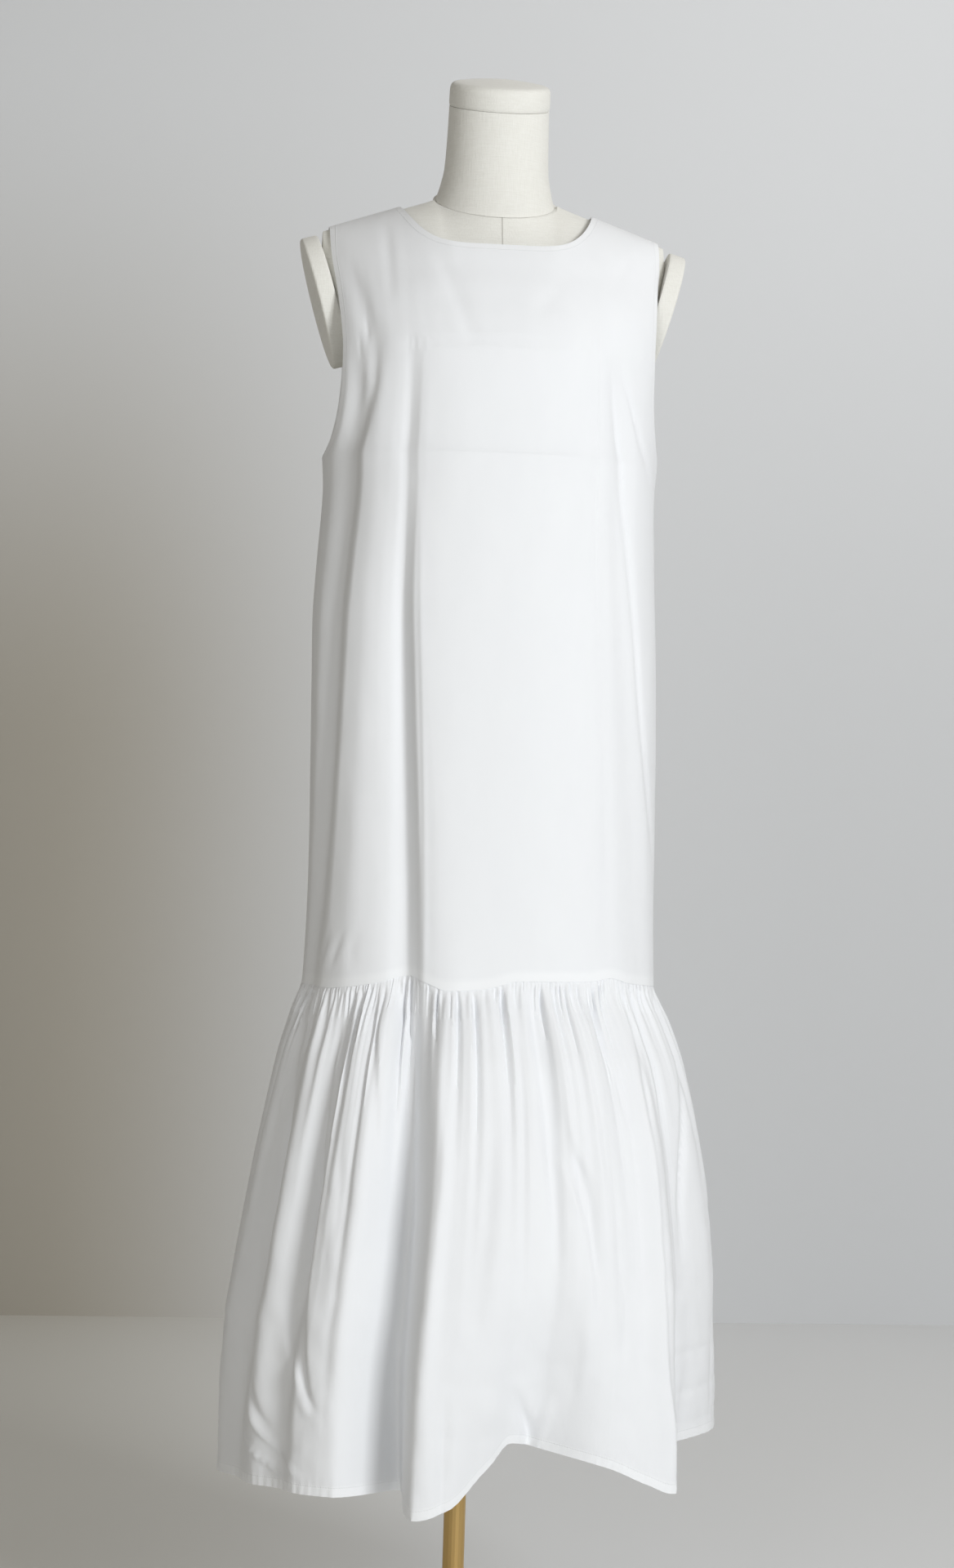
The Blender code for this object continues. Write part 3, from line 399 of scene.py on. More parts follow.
def closed_loft(rings, crown=None):
    """Points and faces of a closed solid through rings of points: quads between neighbouring
    rings, a flat underside, and a flat top or a fan to a crown point."""
    sides = len(rings[0])
    k = np.arange(sides)
    following = (k + 1) % sides
    faces = []
    for place in range(len(rings) - 1):
        low, high = place * sides, (place + 1) * sides
        faces.append(np.stack([low + k, low + following, high + following, high + k], axis=1))
    faces.append([k[::-1]])
    last = (len(rings) - 1) * sides
    points = np.concatenate(rings)
    if crown is None:
        faces.append([last + k])
    else:
        points = np.concatenate([points, [crown]])
        faces.append(np.stack([last + k, last + following, np.full(sides, len(points) - 1)],
                              axis=1))
    return points, faces


neck_rises = np.linspace(0.0, NECK_PROFILE[-1][0], NECK_RING_COUNT)
neck_rings = [leaning_ring(*(float(table_at(NECK_PROFILE, place, rise)) for place in (1, 2, 3)),
                           NECK_BASE + rise, float(table_at(NECK_PROFILE, 4, rise)))
              for rise in neck_rises]
neck = new_piece("neck_cover", *closed_loft(neck_rings), linen_material("neck linen"))
_, cap_width, cap_depth, cap_y, cap_lean = NECK_PROFILE[-1]
cap_rings = []
for rise, scale in CAP_PROFILE:
    cap_rings.append(leaning_ring(cap_width * scale, cap_depth * scale, cap_y - rise * cap_lean,
                                  NECK_BASE + NECK_PROFILE[-1][0] + PIECE_GAP + rise, cap_lean))
cap_crown = (0.0, cap_y - CAP_CROWN * cap_lean, NECK_BASE + NECK_PROFILE[-1][0] + CAP_CROWN)
cap = new_piece("neck_cap_cover", *closed_loft(cap_rings, cap_crown), linen_material("cap linen"))
for piece, node in ((neck, "form_neck"), (cap, "form_neck_cap")):
    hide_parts(node)
    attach(piece, "root")

# The form's arm plates
# Oval padded plates, covered with the same linen, close the flat arm openings.
PLATE_HALF_HEIGHT = 0.0665
PLATE_HALF_DEPTH = 0.0440
PLATE_CENTRE_HEIGHT = 1.370
PLATE_PROFILE = (
    # rise, scale
    (0.0000, 0.990), (0.0010, 0.999), (0.0030, 1.000), (0.0140, 1.000), (0.0156, 0.992),
    (0.0166, 0.972), (0.0171, 0.930), (0.0175, 0.800), (0.0179, 0.500), (0.0181, 0.150),
)
PLATE_CROWN = 0.0182
PLATE_SIDES = 64


def arm_plate_rings(side):
    """Ellipses stacked outward from the flat arm opening, which leans out as it rises."""
    length = math.hypot(1.0, ARM_LEAN)
    up = np.array([side * ARM_LEAN / length, 0.0, 1.0 / length])
    out = np.array([side / length, 0.0, -ARM_LEAN / length])
    plane_x = ARM_BOTTOM[0] + ARM_LEAN * (PLATE_CENTRE_HEIGHT - ARM_BOTTOM[1])
    centre = np.array([side * plane_x, 0.0, PLATE_CENTRE_HEIGHT]) + PIECE_GAP * out
    turn = np.linspace(0.0, 2.0 * math.pi, PLATE_SIDES, endpoint=False)[:, None]
    rings = []
    for rise, scale in PLATE_PROFILE:
        rings.append(centre + rise * out + PLATE_HALF_HEIGHT * scale * np.cos(turn) * up
                     + PLATE_HALF_DEPTH * scale * np.sin(turn) * np.array([0.0, 1.0, 0.0]))
    return rings, centre + PLATE_CROWN * out


for side_name, side in (("left", -1.0), ("right", 1.0)):
    rings, crown = arm_plate_rings(side)
    plate = new_piece("arm_plate_cover_" + side_name, *closed_loft(rings, crown),
                      linen_material("plate linen " + side_name))
    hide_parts("form_arm_plate_" + side_name)
    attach(plate, "root")

# Pole and foot
# A drawn brass tube screwed into a spun and weighted round foot, both satin lacquered. The CAD
# shapes are right and stay; they get the metal's brushed finish.
BRASS = (0.720, 0.500, 0.210, 1.0)
BRASS_SHADE = (BRASS[0] * 0.86, BRASS[1] * 0.82, BRASS[2] * 0.75, 1.0)
BRASS_ROUGHNESS = (0.26, 0.46)      # along a polished and along a scratched line of the brushing
BRUSHING = 700.0                    # scale of its noise


def brass_material(name, brushed):
    """Satin brass: brushing as noise stretched along the grain, and slow changes of tone."""
    material, nodes, links, shader = new_material(name, BRASS, 0.34, 1.0)
    place = add_node(nodes, "ShaderNodeTexCoord").outputs["Object"]
    grain = noise_node(nodes, links, stretched(nodes, links, place, brushed), BRUSHING, 2.0)
    rough = add_node(nodes, "ShaderNodeMapRange")
    rough.inputs["To Min"].default_value = BRASS_ROUGHNESS[0]
    rough.inputs["To Max"].default_value = BRASS_ROUGHNESS[1]
    links.new(grain, rough.inputs["Value"])
    links.new(rough.outputs[0], shader.inputs["Roughness"])
    patches = noise_node(nodes, links, place, 9.0, 3.0)
    two_tones(nodes, links, shader, BRASS, BRASS_SHADE, patches)
    raise_surface(nodes, links, shader, grain, 0.12, 0.0003)
    return material


for node, grain in (("form_pole", (1.0, 1.0, 0.02)), ("form_foot", (0.15, 0.15, 1.0))):
    metal = brass_material(node + " brass", grain)
    for slot in bpy.data.objects[node].material_slots:
        slot.material = metal

# The dress's body
# Two panels of crisp white cotton poplin, cut in one from shoulder to flounce seam and joined by
# shoulder and side seams. They hang straight from the bust and shoulder blades in long folds.
# The neckline and armholes are faced, with a row of edge stitching.
DRESS_SECTIONS = (
    # height, half_width, front_depth, back_depth
    (0.205, 0.2475, 0.252, 0.245),
    (0.280, 0.2473, 0.249, 0.240),
    (0.380, 0.2415, 0.242, 0.232),
    (0.450, 0.2330, 0.228, 0.220),
    (0.530, 0.2210, 0.207, 0.200),
    (0.620, 0.2005, 0.176, 0.170),
    (0.655, 0.1885, 0.154, 0.148),
    (0.695, 0.1762, 0.134, 0.128),
    (0.800, 0.1735, 0.130, 0.124),
    (0.950, 0.1732, 0.128, 0.119),
    (1.040, 0.1725, 0.1275, 0.115),
    (1.110, 0.1695, 0.127, 0.113),
    (1.182, 0.1664, 0.1275, 0.111),
    (1.212, 0.1681, 0.128, 0.110),
    (1.310, 0.1725, 0.129, 0.110),
    (1.340, 0.175, 0.122, 0.106),
    (1.370, 0.176, 0.110, 0.102),
    (1.400, 0.176, 0.0985, 0.098),
    (1.480, 0.176, 0.0860, 0.090),
)
DRIFT = (
    # height, middle: the skirt hangs to the right of the pole
    (0.290, 0.0045), (0.365, 0.0053), (0.401, 0.0079), (0.441, 0.0093), (0.522, 0.0109),
    (0.563, 0.0109), (0.640, 0.0090), (0.692, 0.0068), (0.800, 0.0066), (0.900, 0.0053),
    (1.000, 0.0033), (1.080, 0.0014), (1.200, 0.0024), (1.300, 0.0020), (1.360, 0.0008),
    (1.400, 0.0000),
)
ARMHOLES = (
    # height, front_edge, back_edge
    (1.212, 0.1681, 0.1681),
    (1.240, 0.1597, 0.1560),
    (1.280, 0.1552, 0.1480),
    (1.314, 0.1550, 0.1455),
    (1.355, 0.1577, 0.1490),
    (1.383, 0.1606, 0.1550),
    (1.418, 0.1650, 0.1635),
    (1.443, 0.1660, 0.1660),
)
FLOUNCE_SEAM = (
    # angle, height
    (-180, 0.6970), (-150, 0.6940), (-120, 0.6985), (-90, 0.6890), (-59, 0.6890), (-47, 0.6916),
    (-37, 0.6962), (-24, 0.7045), (-17, 0.6980), (-11, 0.6920), (0, 0.6945), (8, 0.7025),
    (32, 0.7030), (42, 0.7060), (52, 0.7005), (90, 0.6945), (120, 0.6990), (150, 0.7030),
    (180, 0.6970),
)
SEAM_LEVEL = sum(row[1] for row in FLOUNCE_SEAM) / len(FLOUNCE_SEAM)
FRONT_BODY_FOLDS = (
    # top_angle, seam_angle, top_offset, middle_offset, seam_offset, columns
    (-90.0, -90.0, 0.000, 0.000, 0.000, 3),
    (-75.0, -84.5, 0.0000, 0.0005, 0.0005, 2),
    (-60.5, -76.0, -0.0062, -0.0092, -0.0040, 2),
    (-50.0, -62.5, 0.0020, 0.0036, 0.0026, 2),
    (-45.0, -52.0, 0.0020, 0.0036, 0.0028, 1),
    (-39.0, -42.0, 0.0008, 0.0002, -0.0010, 1),
    (-35.0, -33.5, -0.0008, -0.0050, -0.0062, 1),
    (-31.6, -26.0, -0.0030, -0.0122, -0.0140, 1),
    (-29.0, -22.0, -0.0012, -0.0062, -0.0080, 1),
    (-26.5, -18.3, 0.0008, 0.0012, 0.0000, 2),
    (-23.5, -10.0, 0.0012, 0.0034, 0.0025, 3),
    (0.0, 0.0, 0.000, 0.002, 0.000, 3),
    (27.0, 31.0, 0.000, 0.002, 0.000, 1),
    (30.2, 35.0, 0.000, 0.002, 0.000, 1),
    (32.0, 37.5, 0.000, 0.002, 0.000, 1),
    (33.2, 39.2, 0.001, 0.002, 0.000, 1),
    (33.6, 40.0, 0.001, 0.002, 0.000, 2),
    (43.0, 58.0, -0.003, -0.002, -0.001, 2),
    (54.0, 70.0, 0.001, 0.001, 0.001, 3),
    (90.0, 90.0, 0.000, 0.000, 0.000, 0),
)
BACK_BODY_FOLDS = (
    # top_angle, seam_angle, top_offset, middle_offset, seam_offset, columns
    (90.0, 90.0, 0.000, 0.000, 0.000, 3),
    (121.0, 124.0, 0.002, 0.002, 0.001, 2),
    (133.0, 132.0, -0.003, -0.007, -0.010, 2),
    (146.4, 143.0, 0.001, 0.002, 0.002, 3),
    (172.0, 176.0, 0.000, 0.001, 0.002, 2),
    (190.0, 192.0, -0.003, -0.006, -0.009, 2),
    (200.0, 203.0, 0.001, 0.002, 0.002, 2),
    (213.6, 215.0, 0.001, 0.001, 0.001, 2),
    (233.0, 228.0, -0.005, -0.007, -0.004, 3),
    (270.0, 270.0, 0.000, 0.000, 0.000, 0),
)
# Creases pressed and hung into the panels. Each row is a line down the cloth; the depth is that
# of its groove, or of a ridge where it is negative, and the widths are to its left and right.
FRONT_BODY_CREASES = (
    # width_left, width_right, then points of (height, angle, depth)
    (0.012, 0.0110, (0.964, -65.0, 0.0), (1.096, -60.5, 0.0008), (1.206, -56.0, 0.0020),
     (1.250, -53.0, 0.0036), (1.285, -50.5, 0.0030), (1.325, -51.5, 0.0)),
    (0.0020, 0.0035, (0.700, -18.4, -0.0006), (0.780, -19.2, -0.0007), (0.938, -21.3, -0.0006),
     (1.095, -24.2, -0.0003), (1.190, -26.2, 0.0)),
    (0.0120, 0.0080, (1.180, -30.0, 0.0), (1.240, -30.3, 0.0008), (1.290, -30.4, 0.0006),
     (1.325, -31.0, 0.0)),
    (0.010, 0.0100, (0.700, 40.5, 0.0), (0.760, 39.8, 0.0010), (0.938, 37.1, 0.0014),
     (1.214, 32.7, 0.0014), (1.270, 31.4, 0.0)),
    (0.0060, 0.0045, (0.770, 80.0, 0.0), (0.887, 63.8, 0.0018), (0.974, 56.8, 0.0024),
     (1.106, 50.5, 0.0026), (1.213, 44.0, 0.0024), (1.310, 37.8, 0.0)),
    (0.0050, 0.0050, (1.180, 70.5, 0.0), (1.210, 61.1, 0.0016), (1.246, 54.9, 0.0022),
     (1.281, 49.0, 0.0018), (1.312, 38.5, 0.0)),
    (0.0100, 0.0080, (1.355, -41.5, 0.0), (1.380, -41.3, 0.0008), (1.420, -41.0, 0.0012),
     (1.452, -41.0, 0.0)),
    (0.0080, 0.0100, (1.316, -9.0, 0.0), (1.3345, -11.5, 0.0013), (1.375, -16.5, 0.0012),
     (1.424, -22.0, 0.0)),
    (0.0260, 0.0200, (1.285, -48.0, 0.0), (1.310, -51.0, 0.0014), (1.337, -55.5, 0.0032),
     (1.370, -61.0, 0.0028), (1.410, -67.0, 0.0)),
    (0.0900, 0.0900, (1.3150, -36.0, 0.0), (1.3175, -25.0, 0.0010), (1.3200, -6.0, 0.0010),
     (1.3225, 12.0, 0.0008), (1.3245, 24.0, 0.0)),
    (0.0050, 0.0045, (1.300, -61.0, 0.0), (1.314, -62.0, 0.0009), (1.330, -63.5, 0.0)),
    (0.0050, 0.0045, (1.318, -55.5, 0.0), (1.331, -56.5, 0.0009), (1.345, -58.0, 0.0)),
    (0.0100, 0.0100, (1.340, 8.0, 0.0), (1.362, 12.5, 0.0008), (1.392, 19.0, 0.0)),
    (0.0100, 0.0090, (1.382, 41.0, 0.0), (1.405, 47.0, 0.0009), (1.424, 53.0, 0.0)),
    (0.0060, 0.0040, (0.706, -58.0, 0.0), (0.725, -55.0, 0.0012), (0.748, -50.0, 0.0)),
    (0.0040, 0.0060, (0.704, -45.0, 0.0), (0.722, -47.5, 0.0011), (0.752, -44.0, 0.0)),
    (0.0060, 0.0050, (0.708, -66.0, 0.0), (0.730, -62.0, 0.0012), (0.742, -59.0, 0.0)),
)
BACK_BODY_CREASES = (
    # width_left, width_right, then points of (height, angle, depth)
    (0.0050, 0.0120, (0.705, 131.0, 0.0020), (0.760, 131.5, 0.0040), (0.950, 132.3, 0.0035),
     (1.150, 133.0, 0.0020), (1.310, 133.5, 0.0)),
    (0.0110, 0.0050, (0.705, 193.0, 0.0015), (0.780, 192.0, 0.0035), (0.980, 191.0, 0.0030),
     (1.200, 190.0, 0.0018), (1.330, 188.0, 0.0)),
    (0.0050, 0.0110, (0.705, 227.0, 0.0), (0.800, 228.5, 0.0030), (1.000, 230.5, 0.0036),
     (1.200, 233.0, 0.0030), (1.320, 236.0, 0.0)),
    (0.0060, 0.0060, (1.240, 104.0, 0.0), (1.290, 112.0, 0.0020), (1.350, 122.0, 0.0016),
     (1.380, 127.0, 0.0)),
    (0.0070, 0.0060, (1.330, 166.0, 0.0), (1.370, 171.0, 0.0014), (1.420, 181.0, 0.0)),
    (0.0060, 0.0060, (1.250, 254.0, 0.0), (1.300, 246.0, 0.0018), (1.352, 238.0, 0.0)),
    (0.0060, 0.0050, (0.706, 150.0, 0.0), (0.724, 152.0, 0.0012), (0.748, 157.0, 0.0)),
    (0.0050, 0.0060, (0.706, 245.0, 0.0), (0.726, 242.0, 0.0012), (0.750, 238.0, 0.0)),
)
FOLD_START = 1.330
FOLD_MIDDLE = 0.950
UNDERARM_HEIGHT = 1.212
SHOULDER_TIP = 0.166
NAPE_RISE = 0.038
NECKLINES = {True: (1.4205, 5.0), False: (1.452, 3.5)}      # lowest height and steepness
CLOTH = 0.0012                      # thickness of the cloth's wall
HALF_GAP = 0.00015
FOLD_LEAN = 1.5                     # a fold takes its lean low down, as this power of the height
BODY_FINENESS = 6                   # columns for each one of the folds' tables
BODY_ROWS = 84
BODICE_ROWS = 72
BODY_RADIUS = 0.16                  # turns an angle round the body into metres
BODY_WAVES = (12, 0.13, 0.00045)    # waves of its unevenness: their number, longest and height
EDGE_CALM = 0.03                    # creases die away within this distance of an edge or seam
SIDE_CALM = 8.0                     # and within so many degrees of a side seam
EDGE_TURN = 0.02                    # near an edge the wall's thickness is laid along the plain form
ALLOWANCE = 0.0085                  # the cloth is doubled to this height above the flounce seam
FACING = 0.007                      # and by a facing to this distance from an open edge
BAND_EDGE = 0.0012                  # a doubled band fades out over this length
EDGE_STITCH = 0.0062                # the stitching's distance from an open edge
POPLIN = (0.866, 0.880, 0.900, 1.0)
POPLIN_SHADE = (POPLIN[0] * 0.93, POPLIN[1] * 0.93, POPLIN[2] * 0.94, 1.0)
POPLIN_LIGHT = (POPLIN[0] * 1.03, POPLIN[1] * 1.03, POPLIN[2] * 1.03, 1.0)
THREAD_PITCH = 0.0006
STITCH_PITCH = 0.0026
STITCH_WIDTH = 0.0007               # half the width of a row of stitching


def dress_depth(x, heights, front):
    """Distance of the unfolded dress from the side plane: a superellipse in plan, times a
    quarter circle that brings it to nothing at the shoulder ridge."""
    off_middle = np.abs(x - table_at(DRIFT, 1, heights))
    across = np.clip(off_middle / table_at(DRESS_SECTIONS, 1, heights), 0.0, 1.0)
    plan = (1.0 - across ** SQUARENESS) ** (1.0 / SQUARENESS)
    ridge = shoulder_ridge(x, 0.0 if front else NAPE_RISE)
    below = np.clip((ridge - heights) / SHOULDER_ROUNDING, 0.0, 1.0)
    return (table_at(DRESS_SECTIONS, 2 if front else 3, heights) * plan
            * np.sqrt(1.0 - (1.0 - below) ** 2))


def drift_angles(angles, heights):
    """Angle by which a point on a section seems turned from the pole, for the section's drift:
    its share of the half width, times the cosine of the point's own angle."""
    drift = table_at(DRIFT, 1, heights) / table_at(DRESS_SECTIONS, 1, heights)
    return np.degrees(drift * np.cos(np.radians(angles)))


def hung_aside(folds, first_height, second_height):
    """A folds' table with its angles turned back at its two levels, so that each fold stays at
    its angle from the pole while the sections drift."""
    rows = []
    for first, second, *rest in folds:
        rows.append((first - float(drift_angles(first, first_height)),
                     second - float(drift_angles(second, second_height)), *rest))
    return rows


def section_points(heights, turn, front):
    """Points of the unfolded cross sections at the given heights and angles."""
    x = (table_at(DRESS_SECTIONS, 1, heights) * signed_power(np.sin(turn), 2.0 / SQUARENESS)
         + table_at(DRIFT, 1, heights))
    y = (-table_at(DRESS_SECTIONS, 2 if front else 3, heights)
         * signed_power(np.cos(turn), 2.0 / SQUARENESS))
    return np.stack([x, y, heights], axis=1)


def dress_normals(points, front):
    """Outward unit normals of the unfolded dress: the gradient of y squared less the depth
    squared."""
    x, y, height = points[..., 0], points[..., 1], points[..., 2]
    step = 0.00001
    across = (dress_depth(x + step, height, front) ** 2
              - dress_depth(x - step, height, front) ** 2) / (2.0 * step)
    upward = (dress_depth(x, height + step, front) ** 2
              - dress_depth(x, height - step, front) ** 2) / (2.0 * step)
    normal = np.stack([-across, 2.0 * y, -upward], axis=-1)
    return normal / np.linalg.norm(normal, axis=-1, keepdims=True)


def grid_normals(points, outward):
    """Unit normals of a grid from the slopes along its rows and columns, on the side of the
    given outward ones."""
    normal = np.cross(np.gradient(points, axis=1), np.gradient(points, axis=0))
    normal = normal / np.maximum(np.linalg.norm(normal, axis=2, keepdims=True), 1e-12)
    return normal * np.sign((normal * outward).sum(axis=2, keepdims=True))


def spread_columns(table, first, second, fineness):
    """Angles of the grid's columns at two levels: each fold has a column of its own, and those
    between two folds are evenly spaced."""
    levels = []
    for place in (first, second):
        angles = []
        for row, following in zip(table, table[1:]):
            angles.extend(np.linspace(row[place], following[place], row[-1] * fineness,
                                      endpoint=False))
        levels.append(np.array(angles + [table[-1][place]]))
    return levels


def fold_offsets(table, shares, angles_now):
    """Outward offset of the folds on every row: a smooth curve through the folds' offsets,
    weighted by the row's shares of the table's three levels."""
    rows = []
    for weights, (drift, columns_now) in zip(shares, angles_now):
        places = (1.0 - drift) * column(table, 0) + drift * column(table, 1)
        values = sum(weight * column(table, place) for weight, place in zip(weights, (2, 3, 4)))
        rows.append(curve_through(columns_now, places, values))
    return np.array(rows)


def crease_offsets(creases, angles, heights):
    """Outward offset of all creases: across its line, each is a bell curve of its own width on
    either side, with the line's angle and depth smooth curves of the height."""
    offset = np.zeros_like(heights)
    radius = table_at(DRESS_SECTIONS, 1, heights)
    angles = angles + drift_angles(angles, heights)
    for width_left, width_right, *line in creases:
        levels = column(line, 0)
        centre = curve_through(heights, levels, column(line, 1))
        depth = curve_through(heights, levels, column(line, 2))
        depth = np.where((heights > levels[0]) & (heights < levels[-1]), depth,
                         np.where(heights <= levels[0], line[0][2], line[-1][2]))
        away = np.radians(angles - centre) * radius
        width = np.where(away < 0.0, width_left, width_right)
        offset -= depth * np.exp(-(away / width) ** 2)
    return offset


def hand_noise(first, second, seed, waves, longest):
    """A smooth unevenness between about -1 and 1: a sum of sine waves along random directions of
    two coordinates, each shorter and lower than the last."""
    rng = np.random.default_rng(seed)
    total = np.zeros_like(first)
    for k in range(waves):
        turn = rng.uniform(0.0, 2.0 * math.pi)
        length = longest / (1.0 + 0.55 * k)
        shift = rng.uniform(0.0, 2.0 * math.pi)
        along = first * math.cos(turn) + second * math.sin(turn)
        total += np.sin(2.0 * math.pi * along / length + shift) / (1.0 + 0.45 * k)
    return total / math.sqrt(waves)


def body_grid(folds, front, fineness=1, body_rows=BODY_ROWS, bodice_rows=BODICE_ROWS):
    """Grid of the body's surface without and with its folds, with its normals and angles. Rows
    run up from the flounce seam; above the underarm the columns keep their share of the width
    between the armhole edges, and rise by equal shares of their own height."""
    folds = hung_aside(folds, UNDERARM_HEIGHT, SEAM_LEVEL)
    top_angles, seam_angles = spread_columns(folds, 0, 1, fineness)
    lowest, power = NECKLINES[front]
    facing = -1.0 if front else 1.0
    turned = (seam_angles + drift_angles(seam_angles, SEAM_LEVEL) + 180.0) % 360.0 - 180.0
    seam = curve_through(turned, column(FLOUNCE_SEAM, 0), column(FLOUNCE_SEAM, 1))
    rows, angles_now = [], []
    for share in np.arange(body_rows) / body_rows:
        lean = 1.0 - (1.0 - share) ** FOLD_LEAN
        angles = seam_angles + (top_angles - seam_angles) * lean
        rows.append(section_points(seam + (UNDERARM_HEIGHT - seam) * share, np.radians(angles),
                                   front))
        angles_now.append((1.0 - lean, angles))
    spread = signed_power(np.sin(np.radians(top_angles)), 2.0 / SQUARENESS)
    top_x = spread * SHOULDER_TIP
    inward = np.clip(np.abs(top_x) / NECK_POINT[0], 0.0, 1.0)
    neck_height = lowest + (NECK_POINT[1] - lowest) * inward ** power
    top = np.where(np.abs(top_x) < NECK_POINT[0] - TINY, neck_height, shoulder_ridge(top_x))
    tip_height = shoulder_ridge(SHOULDER_TIP)
    for share in 0.5 - 0.5 * np.cos(math.pi * np.arange(bodice_rows + 1) / bodice_rows):
        edge = table_at(ARMHOLES, 1 if front else 2,
                        UNDERARM_HEIGHT + (tip_height - UNDERARM_HEIGHT) * share)
        height = UNDERARM_HEIGHT + (top - UNDERARM_HEIGHT) * share
        inner_width = (1.0 - spread ** 2) * (1.0 - share ** 2) * (ARMHOLES[0][1] - edge)
        x = spread * (edge + inner_width) + table_at(DRIFT, 1, height)
        rows.append(np.stack([x, facing * dress_depth(x, height, front), height], axis=1))
        angles_now.append((0.0, top_angles))
    base = np.array(rows)
    normal = dress_normals(base, front)
    levels = (SEAM_LEVEL, FOLD_MIDDLE, UNDERARM_HEIGHT, FOLD_START)
    shares = [[curve_through(height, levels, weights) for weights in
               ((0.0, 0.0, 1.0, 0.0), (0.0, 1.0, 0.0, 0.0), (1.0, 0.0, 0.0, 0.0))]
              for height in base[:, :, 2].mean(axis=1)]
    angles = np.array([row[1] for row in angles_now])
    folded = base + normal * fold_offsets(folds, shares, angles_now)[:, :, None]
    folded[0, :, 2] = seam
    return folded, normal, angles


def edge_distance(points, edges):
    """Distance of each point of a grid to the nearest of a set of edge points, row by row."""
    away = np.full(points.shape[:2], 1.0)
    for k, row in enumerate(points):
        gap = np.linalg.norm(row[:, None, :] - edges[None, :, :], axis=2)
        away[k] = gap.min(axis=1)
    return away


def lengths_along(points, axis):
    """Running length along the rows (axis 1) or columns (axis 0) of a grid of points."""
    step = np.linalg.norm(np.diff(points, axis=axis), axis=2)
    return np.insert(np.cumsum(step, axis=axis), 0, 0.0, axis=axis)


def cloth_wall(name, outer, inner, material, uv, **values):
    """A closed thin wall between an outer and an inner list of rows of points, with a rim all
    round. A row may have half the columns of the one before, joined by three triangles to each
    of its columns."""
    counts = np.array([len(row) for row in outer])
    starts = np.insert(np.cumsum(counts), 0, 0)
    skin = []
    for first, second, count, following in zip(starts, starts[1:], counts, counts[1:]):
        if count == following:
            skin.append(row_quads(first, second, count))
        else:
            k = np.arange(following - 1)
            low, high = first + 2 * k, second + k
            skin.append(np.stack([low, low + 1, high], axis=1))
            skin.append(np.stack([low + 1, high + 1, high], axis=1))
            skin.append(np.stack([low + 1, low + 2, high + 1], axis=1))
    total = starts[-1]
    border = np.concatenate([np.arange(counts[0]), starts[1:-1] + counts[1:] - 1,
                             starts[-2] + np.arange(counts[-1])[-2::-1], starts[-3:0:-1]])
    after = np.roll(border, -1)
    rim = np.stack([after, border, border + total, after + total], axis=1)
    faces = skin + [group[:, ::-1] + total for group in skin] + [rim]
    points = np.concatenate([np.concatenate(outer), np.concatenate(inner)])
    both = {label: np.tile(np.concatenate(rows), 2) for label, rows in values.items()}
    return new_piece(name, points, faces, material, np.tile(np.concatenate(uv), (2, 1)), 50.0,
                     **both)


def poplin_material(name, crumple):
    """Crisp poplin: a fine plain weave along the cut, small flat creases as bump, brighter where
    the cloth is doubled at a facing or hem, and stitching along those bands."""
    material, nodes, links, shader = new_material(name, POPLIN, 0.72)
    shader.inputs["Sheen Weight"].default_value = 0.12
    shader.inputs["Sheen Roughness"].default_value = 0.5
    shader.inputs["Specular IOR Level"].default_value = 0.30
    coordinates = add_node(nodes, "ShaderNodeTexCoord")
    parts = add_node(nodes, "ShaderNodeSeparateXYZ")
    links.new(coordinates.outputs["UV"], parts.inputs[0])
    threads = []
    for axis in ("X", "Y"):
        turns = math_node(nodes, links, "MULTIPLY", parts.outputs[axis],
                          2.0 * math.pi / THREAD_PITCH)
        threads.append(math_node(nodes, links, "SINE", turns))
    weave = math_node(nodes, links, "MULTIPLY", threads[0], threads[1])
    place = stretched(nodes, links, coordinates.outputs["Object"], (1.0, 1.0, 0.45))
    soft = noise_node(nodes, links, place, 34.0, 4.0, 0.55)
    facets = add_node(nodes, "ShaderNodeTexVoronoi", feature="SMOOTH_F1", in_Scale=26.0)
    facets.inputs["Smoothness"].default_value = 0.35
    links.new(place, facets.inputs["Vector"])
    band = add_node(nodes, "ShaderNodeAttribute", attribute_name="doubled").outputs["Fac"]
    stitch_place = add_node(nodes, "ShaderNodeAttribute", attribute_name="stitch").outputs["Fac"]
    line = math_node(nodes, links, "SUBTRACT", 1.0,
                     math_node(nodes, links, "DIVIDE",
                               math_node(nodes, links, "ABSOLUTE", stitch_place), STITCH_WIDTH),
                     clamp=True)
    run = math_node(nodes, links, "SINE", math_node(nodes, links, "MULTIPLY", parts.outputs["X"],
                                                    2.0 * math.pi / STITCH_PITCH))
    run = math_node(nodes, links, "MULTIPLY_ADD", run, 0.5, 0.6)
    stitches = math_node(nodes, links, "MULTIPLY", line, run)
    tone = math_node(nodes, links, "MULTIPLY_ADD", soft, 0.35, 0.35)
    tone = math_node(nodes, links, "ADD", tone, math_node(nodes, links, "MULTIPLY", band, 0.5))
    tone = math_node(nodes, links, "SUBTRACT", tone,
                     math_node(nodes, links, "MULTIPLY", line, 0.5), clamp=True)
    two_tones(nodes, links, shader, POPLIN_SHADE, POPLIN_LIGHT, tone)
    height = math_node(nodes, links, "MULTIPLY", weave, 0.02)
    for relief, share in ((soft, crumple), (facets.outputs["Distance"], 0.6 * crumple),
                          (stitches, 0.25)):
        height = math_node(nodes, links, "MULTIPLY_ADD", relief, share, height)
    raise_surface(nodes, links, shader, height, 1.0, 0.0010)
    return material


